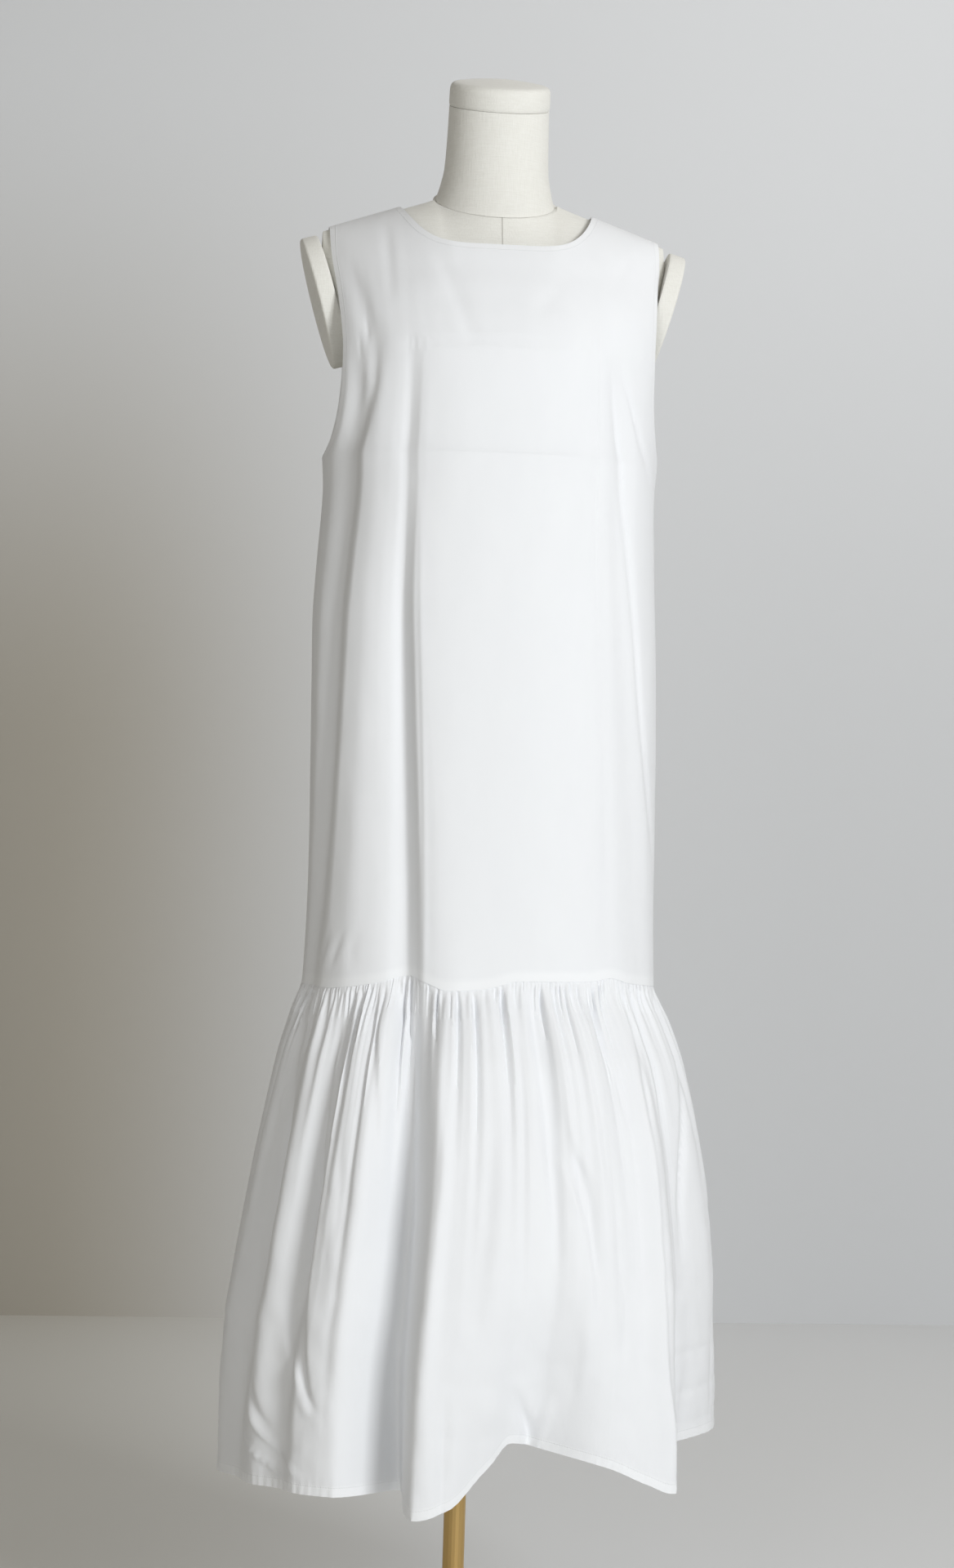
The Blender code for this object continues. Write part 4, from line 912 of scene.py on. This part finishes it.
def body_panel(name, folds, creases, front, seed):
    """The front or back body as a thin wall, with its creases, its facings and its stitching."""
    folded, normal, angles = body_grid(folds, front, BODY_FINENESS)
    heights = folded[:, :, 2]
    top = folded[-1]
    side = np.concatenate([folded[BODY_ROWS:, 0], folded[BODY_ROWS:, -1]])
    neck_edge = top[np.abs(top[:, 0]) < NECK_POINT[0]]
    away = edge_distance(folded, np.concatenate([side, neck_edge]))
    shoulder = top[np.abs(top[:, 0]) >= NECK_POINT[0]]
    off_seams = np.minimum(edge_distance(folded, shoulder), 1.0)
    off_seams = np.minimum(off_seams, heights - heights[0])
    calm = np.clip(np.minimum(away, off_seams) / EDGE_CALM, 0.0, 1.0)
    off_sides = np.minimum(angles - angles.min(), angles.max() - angles)
    calm = calm * np.clip(off_sides / SIDE_CALM, 0.0, 1.0)
    small = crease_offsets(creases, angles, heights) * calm
    metres = np.radians(angles) * BODY_RADIUS
    waves, longest, wave_height = BODY_WAVES
    small += wave_height * hand_noise(metres, 0.35 * heights, seed, waves, longest) * calm
    outer = folded + normal * small[:, :, None]
    wall = grid_normals(outer, normal)
    close = np.clip(1.0 - np.minimum(away, off_seams) / EDGE_TURN, 0.0, 1.0)[:, :, None]
    wall = wall * (1.0 - close) + normal * close
    inner = outer - CLOTH * wall / np.linalg.norm(wall, axis=2, keepdims=True)
    inner[0, :, 2] = outer[0, :, 2]
    shift = -HALF_GAP if front else HALF_GAP
    for skin in (outer, inner):
        skin[:, :, 1] = np.where(np.abs(skin[:, :, 1]) < HALF_GAP, shift, skin[:, :, 1])
    up = lengths_along(outer, 0)
    uv = np.stack([lengths_along(outer, 1), up], axis=2)
    allowance = np.clip((ALLOWANCE - up) / BAND_EDGE, 0.0, 1.0)
    facing = np.clip((FACING - away) / BAND_EDGE, 0.0, 1.0) * 0.5
    piece = cloth_wall(name, list(outer), list(inner), poplin_material(name + " poplin", 0.30),
                       list(uv), doubled=list(np.maximum(allowance, facing)),
                       stitch=list(away - EDGE_STITCH))
    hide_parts(name.replace("_panel", ""))
    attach(piece, "root")
    return piece


front_body = body_panel("front_body_panel", FRONT_BODY_FOLDS, FRONT_BODY_CREASES, True, 11)
back_body = body_panel("back_body_panel", BACK_BODY_FOLDS, BACK_BODY_CREASES, False, 23)

# The gathered flounce
# Two wider panels of the same poplin, gathered along the top into the body's lower edge. The
# gathers open downward into tucks, then into the broad folds of the hem. The hem is turned up
# narrow and stitched, and draws in to small puckers.
HEM = (
    # angle, height
    (-180, 0.2160), (-148, 0.2110), (-120, 0.2200), (-90, 0.2110), (-70, 0.2150), (-50, 0.2190),
    (-33, 0.2200), (-22, 0.2200), (-14, 0.2070), (-7, 0.2160), (0, 0.2480), (5, 0.2740),
    (12, 0.2680), (28, 0.2500), (37, 0.2330), (43, 0.2230), (46, 0.2255), (51, 0.2470), (57, 0.2590),
    (70, 0.2600), (90, 0.2560), (105, 0.2460), (125, 0.2260), (150, 0.2120), (180, 0.2160),
)
FRONT_FLOUNCE_FOLDS = (
    # seam_angle, hem_angle, top_offset, middle_offset, hem_offset, columns
    (-90.0, -90.0, 0.000, 0.000, -0.010, 4),
    (-77.0, -80.0, 0.002, 0.004, 0.002, 3),
    (-66.0, -70.0, -0.004, -0.014, -0.006, 3),
    (-57.0, -59.0, 0.003, 0.006, 0.003, 3),
    (-47.0, -50.0, -0.005, -0.013, -0.004, 2),
    (-41.0, -44.0, 0.002, 0.005, 0.003, 3),
    (-33.0, -34.0, 0.003, 0.004, -0.004, 4),
    (-22.5, -23.0, -0.016, -0.042, -0.072, 4),
    (-10.0, -14.0, 0.004, 0.006, 0.004, 4),
    (2.0, 0.0, 0.002, 0.004, -0.026, 4),
    (13.0, 11.0, -0.004, -0.003, -0.052, 4),
    (24.0, 25.0, 0.003, 0.003, -0.020, 4),
    (35.0, 35.0, -0.003, -0.004, -0.003, 3),
    (43.0, 43.5, 0.003, 0.006, 0.010, 4),
    (54.0, 53.0, -0.004, -0.011, -0.024, 4),
    (72.0, 75.0, 0.002, 0.004, 0.000, 4),
    (90.0, 90.0, 0.000, 0.000, 0.008, 0),
)
BACK_FLOUNCE_FOLDS = (
    # seam_angle, hem_angle, top_offset, middle_offset, hem_offset, columns
    (90.0, 90.0, 0.000, 0.000, 0.008, 5),
    (109.0, 108.0, 0.003, 0.006, 0.014, 4),
    (124.0, 123.0, -0.007, -0.020, -0.042, 4),
    (139.0, 139.0, 0.003, 0.006, 0.010, 4),
    (154.0, 156.0, -0.005, -0.012, -0.026, 5),
    (172.0, 173.0, 0.003, 0.005, 0.006, 5),
    (189.0, 190.0, -0.008, -0.024, -0.046, 4),
    (203.0, 204.0, 0.003, 0.006, 0.008, 5),
    (221.0, 221.0, -0.004, -0.010, -0.020, 4),
    (236.0, 235.0, 0.003, 0.005, 0.006, 4),
    (251.0, 252.0, -0.005, -0.012, -0.018, 5),
    (270.0, 270.0, 0.000, 0.000, -0.010, 0),
)
FRONT_FLOUNCE_CREASES = (
    # width_left, width_right, then points of (height, angle, depth)
    (0.010, 0.0045, (0.296, -38.0, 0.0), (0.319, -41.5, 0.0045), (0.393, -44.4, 0.0060),
     (0.468, -46.6, 0.0060), (0.543, -48.6, 0.0055), (0.6135, -48.8, 0.0045), (0.650, -48.2, 0.0035),
     (0.690, -46.6, 0.0)),
    (0.008, 0.0060, (0.300, -66.0, 0.0), (0.390, -65.2, 0.0030), (0.459, -66.2, 0.0045),
     (0.528, -66.8, 0.0050), (0.591, -68.5, 0.0040), (0.680, -70.0, 0.0)),
    (0.016, 0.0075, (0.207, -19.8, 0.006), (0.328, -19.8, 0.0085), (0.4765, -19.9, 0.0095),
     (0.551, -20.0, 0.0095), (0.626, -20.8, 0.0080), (0.695, -22.8, 0.0)),
    (0.012, 0.0080, (0.207, -11.0, 0.0), (0.329, -12.6, -0.0040), (0.404, -12.0, -0.0055),
     (0.478, -11.0, -0.0060), (0.527, -10.2, -0.0060), (0.596, -11.6, -0.0050),
     (0.632, -11.9, -0.0035), (0.690, -9.1, 0.0)),
    (0.0060, 0.0040, (0.540, -22.3, 0.0), (0.645, -22.2, 0.0025), (0.654, -23.6, 0.0030),
     (0.698, -29.8, 0.0)),
    (0.0060, 0.0040, (0.520, -29.0, 0.0), (0.569, -29.7, 0.0025), (0.629, -31.8, 0.0030),
     (0.695, -37.1, 0.0)),
    (0.0050, 0.0040, (0.600, -41.2, 0.0), (0.640, -41.7, 0.0025), (0.692, -42.3, 0.0)),
    (0.0060, 0.0060, (0.430, 14.6, 0.0), (0.509, 13.5, 0.0030), (0.554, 13.0, 0.0045),
     (0.651, 12.1, 0.0045), (0.702, 13.3, 0.0)),
    (0.0110, 0.0040, (0.430, 23.4, 0.0), (0.464, 22.8, 0.0030), (0.493, 22.6, 0.0040),
     (0.527, 21.1, 0.0040), (0.548, 18.5, 0.0030), (0.600, 16.0, 0.0)),
    (0.0040, 0.0060, (0.560, 36.5, 0.0), (0.605, 35.8, 0.0030), (0.643, 34.6, 0.0030),
     (0.700, 35.5, 0.0)),
    (0.0050, 0.0050, (0.540, 43.0, 0.0), (0.6195, 45.5, 0.0028), (0.698, 51.7, 0.0)),
    (0.0110, 0.0045, (0.215, 44.0, -0.0020), (0.275, 43.0, -0.0040), (0.367, 41.0, -0.0040),
     (0.460, 41.4, -0.0035), (0.551, 42.4, -0.0025), (0.640, 42.5, 0.0)),
    (0.0040, 0.0060, (0.420, 57.0, 0.0), (0.488, 58.3, 0.0035), (0.544, 62.4, 0.0045),
     (0.591, 66.7, 0.0035), (0.660, 74.0, 0.0)),
    (0.0035, 0.0060, (0.235, -8.7, 0.0035), (0.270, -8.6, 0.0035), (0.302, -8.4, 0.0020),
     (0.330, -8.2, 0.0)),
    (0.0060, 0.0060, (0.262, 10.8, 0.0045), (0.283, 10.1, 0.0050), (0.307, 7.2, 0.0030),
     (0.330, 4.6, 0.0)),
    (0.0060, 0.0060, (0.262, 12.5, 0.0), (0.295, 13.4, -0.0030), (0.318, 15.0, 0.0)),
    (0.0260, 0.0050, (0.252, 9.0, -0.0030), (0.285, 6.5, -0.0040), (0.310, 3.0, -0.0025),
     (0.330, 0.0, 0.0)),
    (0.0050, 0.0200, (0.330, 24.0, 0.0), (0.400, 23.8, 0.0022), (0.470, 22.6, 0.0030),
     (0.520, 19.0, 0.0030), (0.548, 15.5, 0.0)),
    (0.0040, 0.0140, (0.340, 30.0, 0.0), (0.400, 31.5, 0.0014), (0.440, 30.0, 0.0)),
    (0.0140, 0.0040, (0.300, 18.5, 0.0), (0.350, 19.5, 0.0014), (0.410, 18.0, 0.0)),
    (0.0050, 0.0120, (0.380, -32.0, 0.0), (0.420, -30.5, 0.0020), (0.500, -28.0, 0.0022),
     (0.560, -28.5, 0.0)),
    (0.0040, 0.0100, (0.440, -36.5, 0.0), (0.500, -37.0, 0.0018), (0.560, -38.5, 0.0)),
    (0.0120, 0.0040, (0.300, -48.0, 0.0), (0.330, -49.5, -0.0026), (0.375, -52.5, -0.0024),
     (0.420, -54.0, 0.0)),
    (0.0045, 0.0120, (0.228, 60.0, 0.0), (0.290, 59.0, 0.0018), (0.340, 60.5, 0.0)),
    (0.0800, 0.0800, (0.300, 50.0, 0.0), (0.306, 60.0, 0.0012), (0.316, 76.0, 0.0)),
    (0.0700, 0.0700, (0.338, 51.0, 0.0), (0.346, 61.0, 0.0012), (0.352, 72.0, 0.0)),
    (0.0800, 0.0800, (0.270, 56.0, 0.0), (0.274, 66.0, 0.0010), (0.284, 82.0, 0.0)),
    (0.0040, 0.0050, (0.224, -47.0, 0.0), (0.238, -52.8, -0.0025), (0.259, -64.0, -0.0028),
     (0.285, -68.0, 0.0)),
    (0.0050, 0.0040, (0.232, -41.0, 0.0), (0.243, -45.5, -0.0022), (0.275, -58.2, -0.0028),
     (0.300, -62.0, 0.0)),
    (0.0060, 0.0050, (0.270, -53.0, 0.0), (0.283, -56.4, 0.0024), (0.322, -62.5, 0.0028),
     (0.350, -66.0, 0.0)),
    (0.0070, 0.0050, (0.290, -40.0, 0.0), (0.304, -41.3, -0.0022), (0.340, -46.0, -0.0024),
     (0.375, -51.0, 0.0)),
    (0.0050, 0.0080, (0.250, -30.0, 0.0), (0.300, -33.0, 0.0012), (0.360, -32.0, 0.0)),
    (0.0070, 0.0070, (0.340, -3.5, 0.0), (0.420, -2.0, 0.0018), (0.520, 0.5, 0.0022),
     (0.640, 3.0, 0.0)),
    (0.0080, 0.0050, (0.400, 6.5, 0.0), (0.480, 6.0, 0.0014), (0.600, 7.5, 0.0020),
     (0.690, 8.2, 0.0)),
    (0.0070, 0.0070, (0.300, 32.0, 0.0), (0.400, 30.0, 0.0016), (0.500, 29.0, 0.0018),
     (0.600, 28.0, 0.0)),
    (0.0050, 0.0070, (0.330, 54.0, 0.0), (0.430, 51.0, 0.0020), (0.540, 52.0, 0.0022),
     (0.660, 57.0, 0.0)),
    (0.0070, 0.0050, (0.250, 73.0, 0.0), (0.360, 75.0, 0.0025), (0.500, 78.0, 0.0025),
     (0.640, 80.0, 0.0)),
)
BACK_FLOUNCE_CREASES = (
    # width_left, width_right, then points of (height, angle, depth)
    (0.0060, 0.0120, (0.230, 123.0, 0.004), (0.340, 123.0, 0.0060), (0.500, 123.5, 0.0060),
     (0.620, 124.5, 0.0045), (0.695, 125.0, 0.0)),
    (0.0110, 0.0060, (0.215, 190.5, 0.004), (0.330, 190.0, 0.0060), (0.500, 189.6, 0.0060),
     (0.620, 188.6, 0.0040), (0.700, 187.0, 0.0)),
    (0.0050, 0.0100, (0.260, 156.0, 0.0), (0.380, 156.0, 0.0040), (0.520, 154.8, 0.0050),
     (0.640, 153.6, 0.0035), (0.702, 153.0, 0.0)),
    (0.0100, 0.0050, (0.270, 221.0, 0.0), (0.380, 221.4, 0.0038), (0.540, 221.0, 0.0046),
     (0.690, 220.0, 0.0)),
    (0.0050, 0.0080, (0.260, 252.5, 0.0), (0.400, 252.0, 0.0036), (0.560, 251.0, 0.0044),
     (0.685, 250.0, 0.0)),
    (0.0100, 0.0070, (0.220, 139.0, -0.0020), (0.360, 139.5, -0.0040), (0.520, 139.0, -0.0040),
     (0.660, 138.0, 0.0)),
    (0.0070, 0.0100, (0.220, 204.5, -0.0020), (0.360, 204.0, -0.0040), (0.540, 203.4, -0.0036),
     (0.670, 203.0, 0.0)),
    (0.0050, 0.0050, (0.560, 114.0, 0.0), (0.620, 115.5, 0.0028), (0.695, 113.0, 0.0)),
    (0.0050, 0.0050, (0.520, 166.0, 0.0), (0.600, 165.0, 0.0028), (0.700, 168.0, 0.0)),
    (0.0050, 0.0050, (0.540, 178.5, 0.0), (0.610, 178.0, 0.0026), (0.698, 175.0, 0.0)),
    (0.0050, 0.0050, (0.500, 213.5, 0.0), (0.600, 212.0, 0.0028), (0.692, 209.0, 0.0)),
    (0.0050, 0.0050, (0.560, 242.0, 0.0), (0.630, 243.0, 0.0026), (0.690, 240.0, 0.0)),
    (0.0050, 0.0050, (0.250, 170.0, 0.0), (0.275, 176.0, -0.0024), (0.310, 181.0, 0.0)),
    (0.0050, 0.0050, (0.240, 233.0, 0.0), (0.270, 238.0, -0.0026), (0.300, 243.0, 0.0)),
    (0.0060, 0.0050, (0.262, 128.0, 0.0), (0.300, 132.0, -0.0022), (0.345, 134.0, 0.0)),
)
HEM_LEVEL = sum(row[1] for row in HEM) / len(HEM)
FLOUNCE_TOP = 0.12
FLOUNCE_MIDDLE = 0.5
FLOUNCE_GAP = 0.0005
FLOUNCE_FINENESS = 10
FINE_BAND = 0.060                   # the grid has double columns in this share below the seam
FINE_ROWS = 13
LOW_ROWS = 112
HEM_WIDTH = 0.0100
HEM_EDGE = 0.001                    # the doubled hem fades out over this length
SEAM_TUCK = 0.0022                  # the flounce's top edge goes up so far behind the body's
# Gathers at four sizes: how many in half the flounce, the half width and depth of their grooves,
# the distance below the seam over which they grow, and that over which they die away
GATHER_SIZES = (
    # count, half_width, depth, grow, fade
    (136, 0.0011, 0.0026, 0.0010, 0.0130),
    (74, 0.0017, 0.0050, 0.0040, 0.0340),
    (34, 0.0025, 0.0078, 0.0120, 0.0900),
    (17, 0.0036, 0.0100, 0.0250, 0.1700),
)
GATHERED_WIDTH = 0.53               # about the seam's length in half the flounce
TUCK_INSET = 0.6                    # the tucked edge goes inward by this share of its height
FLOUNCE_RADIUS = 0.22               # turns an angle round the flounce into metres
FLOUNCE_CALM = 4.0                  # ripples die away within so many degrees of a side seam
FLOUNCE_WAVES = (14, 0.12, 0.0010)  # waves of its unevenness: their number, longest and height
FLOUNCE_DENTS = (10, 0.16, 0.0013)  # and those of its crisp dents
RIPPLE_DROP = 0.30                  # both grow to full height over this distance below the seam
PUCKERS = (0.0085, 0.0007, 0.018)   # the hem's puckers: pitch, height, and reach above the hem


def gathers(share, drop, seed):
    """Outward offset of the gathers over the share of the width and the distance below the seam:
    flat tops between narrow grooves in the shape of bell curves, unevenly spaced, each with a
    depth, a width and a length of its own."""
    rng = np.random.default_rng(seed)
    offset = np.zeros_like(share)
    for count, half_width, depth, grow, fade in GATHER_SIZES:
        numbers = np.arange(count + 1)
        nodes = numbers + rng.uniform(-0.36, 0.36, count + 1)
        nodes[[0, -1]] = (0.0, count)
        place = np.interp(share * count, nodes, numbers)
        nearest = np.rint(place).astype(int)
        away = (place - nearest) * GATHERED_WIDTH / count
        own_depth = (depth * rng.uniform(0.15, 1.0, count + 1) ** 1.6)[nearest]
        own_width = (half_width * rng.uniform(0.7, 1.4, count + 1))[nearest]
        own_length = (fade * rng.uniform(0.45, 1.8, count + 1))[nearest]
        groove = np.exp(-(away / own_width) ** 2) - 0.3
        reach = (1.0 - np.exp(-(drop / grow) ** 2)) * np.exp(-(drop / own_length) ** 1.6)
        offset -= own_depth * groove * reach
    return offset


def flounce_grid(folds, body_folds, front):
    """Grid of half the flounce with its broad folds, its normals, angles and distances below
    the seam. The top edge follows the body's lower edge; a row goes down by an equal share of
    each column's height."""
    folds = hung_aside(folds, SEAM_LEVEL, HEM_LEVEL)
    seam_angles, hem_angles = spread_columns(folds, 0, 1, FLOUNCE_FINENESS)
    body, _, body_angles = body_grid(body_folds, front, BODY_FINENESS, 4, 4)
    edge = np.stack([np.interp(seam_angles, body_angles[0], body[0, :, axis]) for axis in range(3)],
                    axis=1)
    edge[:, 2] -= FLOUNCE_GAP
    turned = (hem_angles + drift_angles(hem_angles, HEM_LEVEL) + 180.0) % 360.0 - 180.0
    hem = curve_through(turned, column(HEM, 0), column(HEM, 1))
    shares = np.concatenate([np.linspace(0.0, FINE_BAND, FINE_ROWS)[:-1],
                             FINE_BAND + (1.0 - FINE_BAND) * np.linspace(0.0, 1.0, LOW_ROWS)])
    rows, angles_now = [], []
    for share in shares:
        angles = seam_angles + (hem_angles - seam_angles) * share
        rows.append(section_points(edge[:, 2] + (hem - edge[:, 2]) * share, np.radians(angles),
                                   front))
        angles_now.append((share, angles))
    base = np.array(rows)
    normal = dress_normals(base, front)
    levels = (0.0, FLOUNCE_TOP, FLOUNCE_MIDDLE, 1.0)
    weights = [[curve_through(share, levels, values) for values in
                ((0.0, 1.0, 0.0, 0.0), (0.0, 0.0, 1.0, 0.0), (0.0, 0.0, 0.0, 1.0))]
               for share in shares]
    fade = 1.0 - curve_through(shares, (0.0, FLOUNCE_TOP, 1.0), (0.0, 1.0, 1.0))
    folded = (base + normal * fold_offsets(folds, weights, angles_now)[:, :, None]
              + fade[:, None, None] * (edge - base[0]))
    drop = base[0, :, 2] - base[:, :, 2]
    return folded, normal, np.array([row[1] for row in angles_now]), drop


def flounce_panel(name, folds, body_folds, creases, front, seed):
    """Half the flounce as a thin wall, with its gathers, creases, puckered hem and stitching."""
    folded, normal, angles, drop = flounce_grid(folds, body_folds, front)
    heights = folded[:, :, 2]
    across = np.linspace(0.0, 1.0, folded.shape[1])[None, :] + 0.0 * drop
    up_hem = np.abs(lengths_along(folded, 0)[-1] - lengths_along(folded, 0))
    run = lengths_along(folded, 1)
    off_sides = np.minimum(angles - angles[:, :1], angles[:, -1:] - angles)
    calm = np.clip(off_sides / FLOUNCE_CALM, 0.0, 1.0)
    small = gathers(across, drop, seed) + crease_offsets(creases, angles, heights)
    metres = np.radians(angles) * FLOUNCE_RADIUS
    low = np.clip(drop / RIPPLE_DROP, 0.0, 1.0)
    waves, longest, wave_height = FLOUNCE_WAVES
    small += wave_height * low * hand_noise(metres, 0.6 * heights, seed + 1, waves, longest)
    waves, longest, dent_depth = FLOUNCE_DENTS
    dents = hand_noise(metres, 0.8 * heights, seed + 2, waves, longest)
    small += dent_depth * low * (np.abs(dents) - 0.6)
    pitch, pucker_height, reach = PUCKERS
    unevenness = 2.0 * hand_noise(run, up_hem, seed, 6, 0.06)
    pucker = np.sin(2.0 * math.pi * run / pitch + unevenness)
    small += pucker_height * pucker * np.clip(1.0 - up_hem / reach, 0.0, 1.0)
    outer = folded + normal * (small * calm)[:, :, None]
    wall = grid_normals(outer, normal)
    wall[0] = normal[0]
    wall[:, [0, -1], 1] = 0.0
    wall /= np.linalg.norm(wall, axis=2, keepdims=True)
    inner = outer - CLOTH * wall
    shift = -HALF_GAP if front else HALF_GAP
    half = FINE_ROWS - 1
    grids = [outer, inner, np.stack([run, up_hem], axis=2)]
    extra = [np.clip((HEM_WIDTH - up_hem) / HEM_EDGE, 0.0, 1.0), up_hem - HEM_WIDTH + HEM_EDGE]
    for skin in (outer, inner):
        skin[:, [0, -1], 1] = shift
        skin[0, :, 2] = folded[0, :, 2] + SEAM_TUCK
        skin[0, 1:-1, :2] -= SEAM_TUCK * TUCK_INSET * normal[0, 1:-1, :2]
    rows = [[row if k < half else row[::2] for k, row in enumerate(grid)]
            for grid in grids + extra]
    piece = cloth_wall(name, rows[0], rows[1], poplin_material(name + " poplin", 0.65), rows[2],
                       doubled=rows[3], stitch=rows[4])
    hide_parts(name.replace("_panel", ""))
    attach(piece, "root")
    return piece


front_flounce = flounce_panel("front_flounce_panel", FRONT_FLOUNCE_FOLDS, FRONT_BODY_FOLDS,
                              FRONT_FLOUNCE_CREASES, True, 5)
back_flounce = flounce_panel("back_flounce_panel", BACK_FLOUNCE_FOLDS, BACK_BODY_FOLDS,
                             BACK_FLOUNCE_CREASES, False, 8)

# Floor and backdrop
# A pale grey paper sweep: a level floor, and a wall behind the dress that is clear from its back
# so that it never hides the dress from another side. A painted shadow darkens the paper low at the
# left.
WALL_Y = 2.15
BACKDROP = (0.725, 0.740, 0.760, 1.0)
# painted shadow: the darker tone of the wall's paper, laid low at the left
BACKDROP_PAINTED_SHADOW = (0.425, 0.400, 0.350, 1.0)
FLOOR = (0.860, 0.870, 0.880, 1.0)
# painted shadow: the darker tone of the floor's paper, laid at the left
FLOOR_PAINTED_SHADOW = (0.700, 0.690, 0.650, 1.0)
# where the painted shadow lies on the paper: full low at the left, gone to the right and higher up
PAINTED_SHADOW_ACROSS = (-0.45, 0.25)        # the shade is full left of the first and gone at the second
PAINTED_SHADOW_UP = (0.9, 2.1)               # it is full below the first height and gone at the second
FLOOR_REACH = 14.0
WALL_REACH = 6.0
WALL_TOP = 5.0


def sweep_material(name, light, shade, one_sided):
    """Matt paper in two tones, the darker one a painted shadow, mixed by the product of two smooth
    ramps, across and up; a one-sided wall is clear from behind."""
    material, nodes, links, shader = new_material(name, light, 0.9)
    shader.inputs["Specular IOR Level"].default_value = 0.15
    place = add_node(nodes, "ShaderNodeTexCoord").outputs["Object"]
    parts = add_node(nodes, "ShaderNodeSeparateXYZ")
    links.new(place, parts.inputs[0])
    ramps = []
    for axis, (full, gone) in (("X", PAINTED_SHADOW_ACROSS), ("Z", PAINTED_SHADOW_UP)):
        ramp = add_node(nodes, "ShaderNodeMapRange", interpolation_type="SMOOTHSTEP")
        ramp.inputs["From Min"].default_value = full
        ramp.inputs["From Max"].default_value = gone
        ramp.inputs["To Min"].default_value = 1.0
        ramp.inputs["To Max"].default_value = 0.0
        links.new(parts.outputs[axis], ramp.inputs["Value"])
        ramps.append(ramp.outputs[0])
    # the paper's tone, darkened by the painted shadow where both ramps are high
    two_tones(nodes, links, shader, light, shade, math_node(nodes, links, "MULTIPLY", *ramps))
    if one_sided:
        clear = add_node(nodes, "ShaderNodeBsdfTransparent")
        behind = add_node(nodes, "ShaderNodeNewGeometry").outputs["Backfacing"]
        choose = add_node(nodes, "ShaderNodeMixShader")
        links.new(behind, choose.inputs[0])
        links.new(shader.outputs[0], choose.inputs[1])
        links.new(clear.outputs[0], choose.inputs[2])
        links.new(choose.outputs[0], nodes["Material Output"].inputs["Surface"])
    return material


def stage_plane(name, left_low, right_high, material):
    """A flat staging surface: level between two corners of one height, else an upright wall."""
    (x0, y0, z0), (x1, y1, z1) = left_low, right_high
    corners = [left_low, (x1, y0, z0), right_high, (x0, y1, z1)]
    mesh = bpy.data.meshes.new(name)
    mesh.from_pydata(corners, [], [(0, 1, 2, 3)])
    mesh.materials.append(material)
    plane = bpy.data.objects.new(name, mesh)
    bpy.context.scene.collection.objects.link(plane)


stage_plane("floor", (-FLOOR_REACH, -FLOOR_REACH, 0.0), (FLOOR_REACH, FLOOR_REACH, 0.0),
            sweep_material("floor paper with painted shadow", FLOOR, FLOOR_PAINTED_SHADOW, False))
stage_plane("wall", (-WALL_REACH, WALL_Y, 0.0), (WALL_REACH, WALL_Y, WALL_TOP),
            sweep_material("wall paper with painted shadow", BACKDROP, BACKDROP_PAINTED_SHADOW, True))

# Light and camera
# A large soft source at the front right, a weak one at the front left, one for the backdrop
# alone, and a warm even room.
DRESS_MIDDLE = (0.0, 0.0, 0.9)
DAYLIGHT = (0.965, 0.985, 1.0)
LIGHTS = (
    # name, place, aim, size, watts, colour
    ("key", (1.75, -3.6, 2.0), DRESS_MIDDLE, 1.3, 99.0, DAYLIGHT),
    ("fill", (-1.5, -3.5, 1.5), DRESS_MIDDLE, 1.2, 23.0, DAYLIGHT),
    ("backdrop", (1.2, 0.4, 2.6), (0.3, WALL_Y, 1.7), 1.5, 14.0, (1.0, 1.0, 1.0)),
)
ROOM_COLOUR = (1.0, 0.93, 0.81, 1.0)
ROOM_STRENGTH = 0.235
CAMERA_PLACE = (-0.4022, -3.2754, 0.892)
CAMERA_TURN = math.radians(-7.0)
CAMERA_ROLL = math.radians(-1.763)
SENSOR_WIDTH = 36.0                 # millimetres
FOCAL_LENGTH = 75.46


def soft_light(name, place, aim, size, power, colour):
    """A square area light at a place, turned to its aim."""
    lamp = bpy.data.lights.new(name, "AREA")
    lamp.shape = "SQUARE"
    lamp.size = size
    lamp.energy = power
    lamp.color = colour
    holder = bpy.data.objects.new(name, lamp)
    bpy.context.scene.collection.objects.link(holder)
    line = np.array(aim, float) - np.array(place, float)
    holder.location = place
    holder.rotation_euler = (math.acos(-line[2] / np.linalg.norm(line)), 0.0,
                             math.atan2(line[1], line[0]) - math.pi / 2.0)


for light in LIGHTS:
    soft_light(*light)
world = bpy.data.worlds.new("room")
world.use_nodes = True
world.node_tree.nodes["Background"].inputs["Color"].default_value = ROOM_COLOUR
world.node_tree.nodes["Background"].inputs["Strength"].default_value = ROOM_STRENGTH
bpy.context.scene.world = world

lens = bpy.data.cameras.new("camera")
lens.sensor_fit = "AUTO"
lens.sensor_width = SENSOR_WIDTH
lens.lens = FOCAL_LENGTH
camera = bpy.data.objects.new("camera", lens)
bpy.context.scene.collection.objects.link(camera)
camera.location = CAMERA_PLACE
camera.rotation_mode = "XYZ"
camera.rotation_euler = (math.pi / 2.0, CAMERA_ROLL, CAMERA_TURN)
bpy.context.scene.camera = camera
bpy.context.scene.view_settings.view_transform = "Standard"
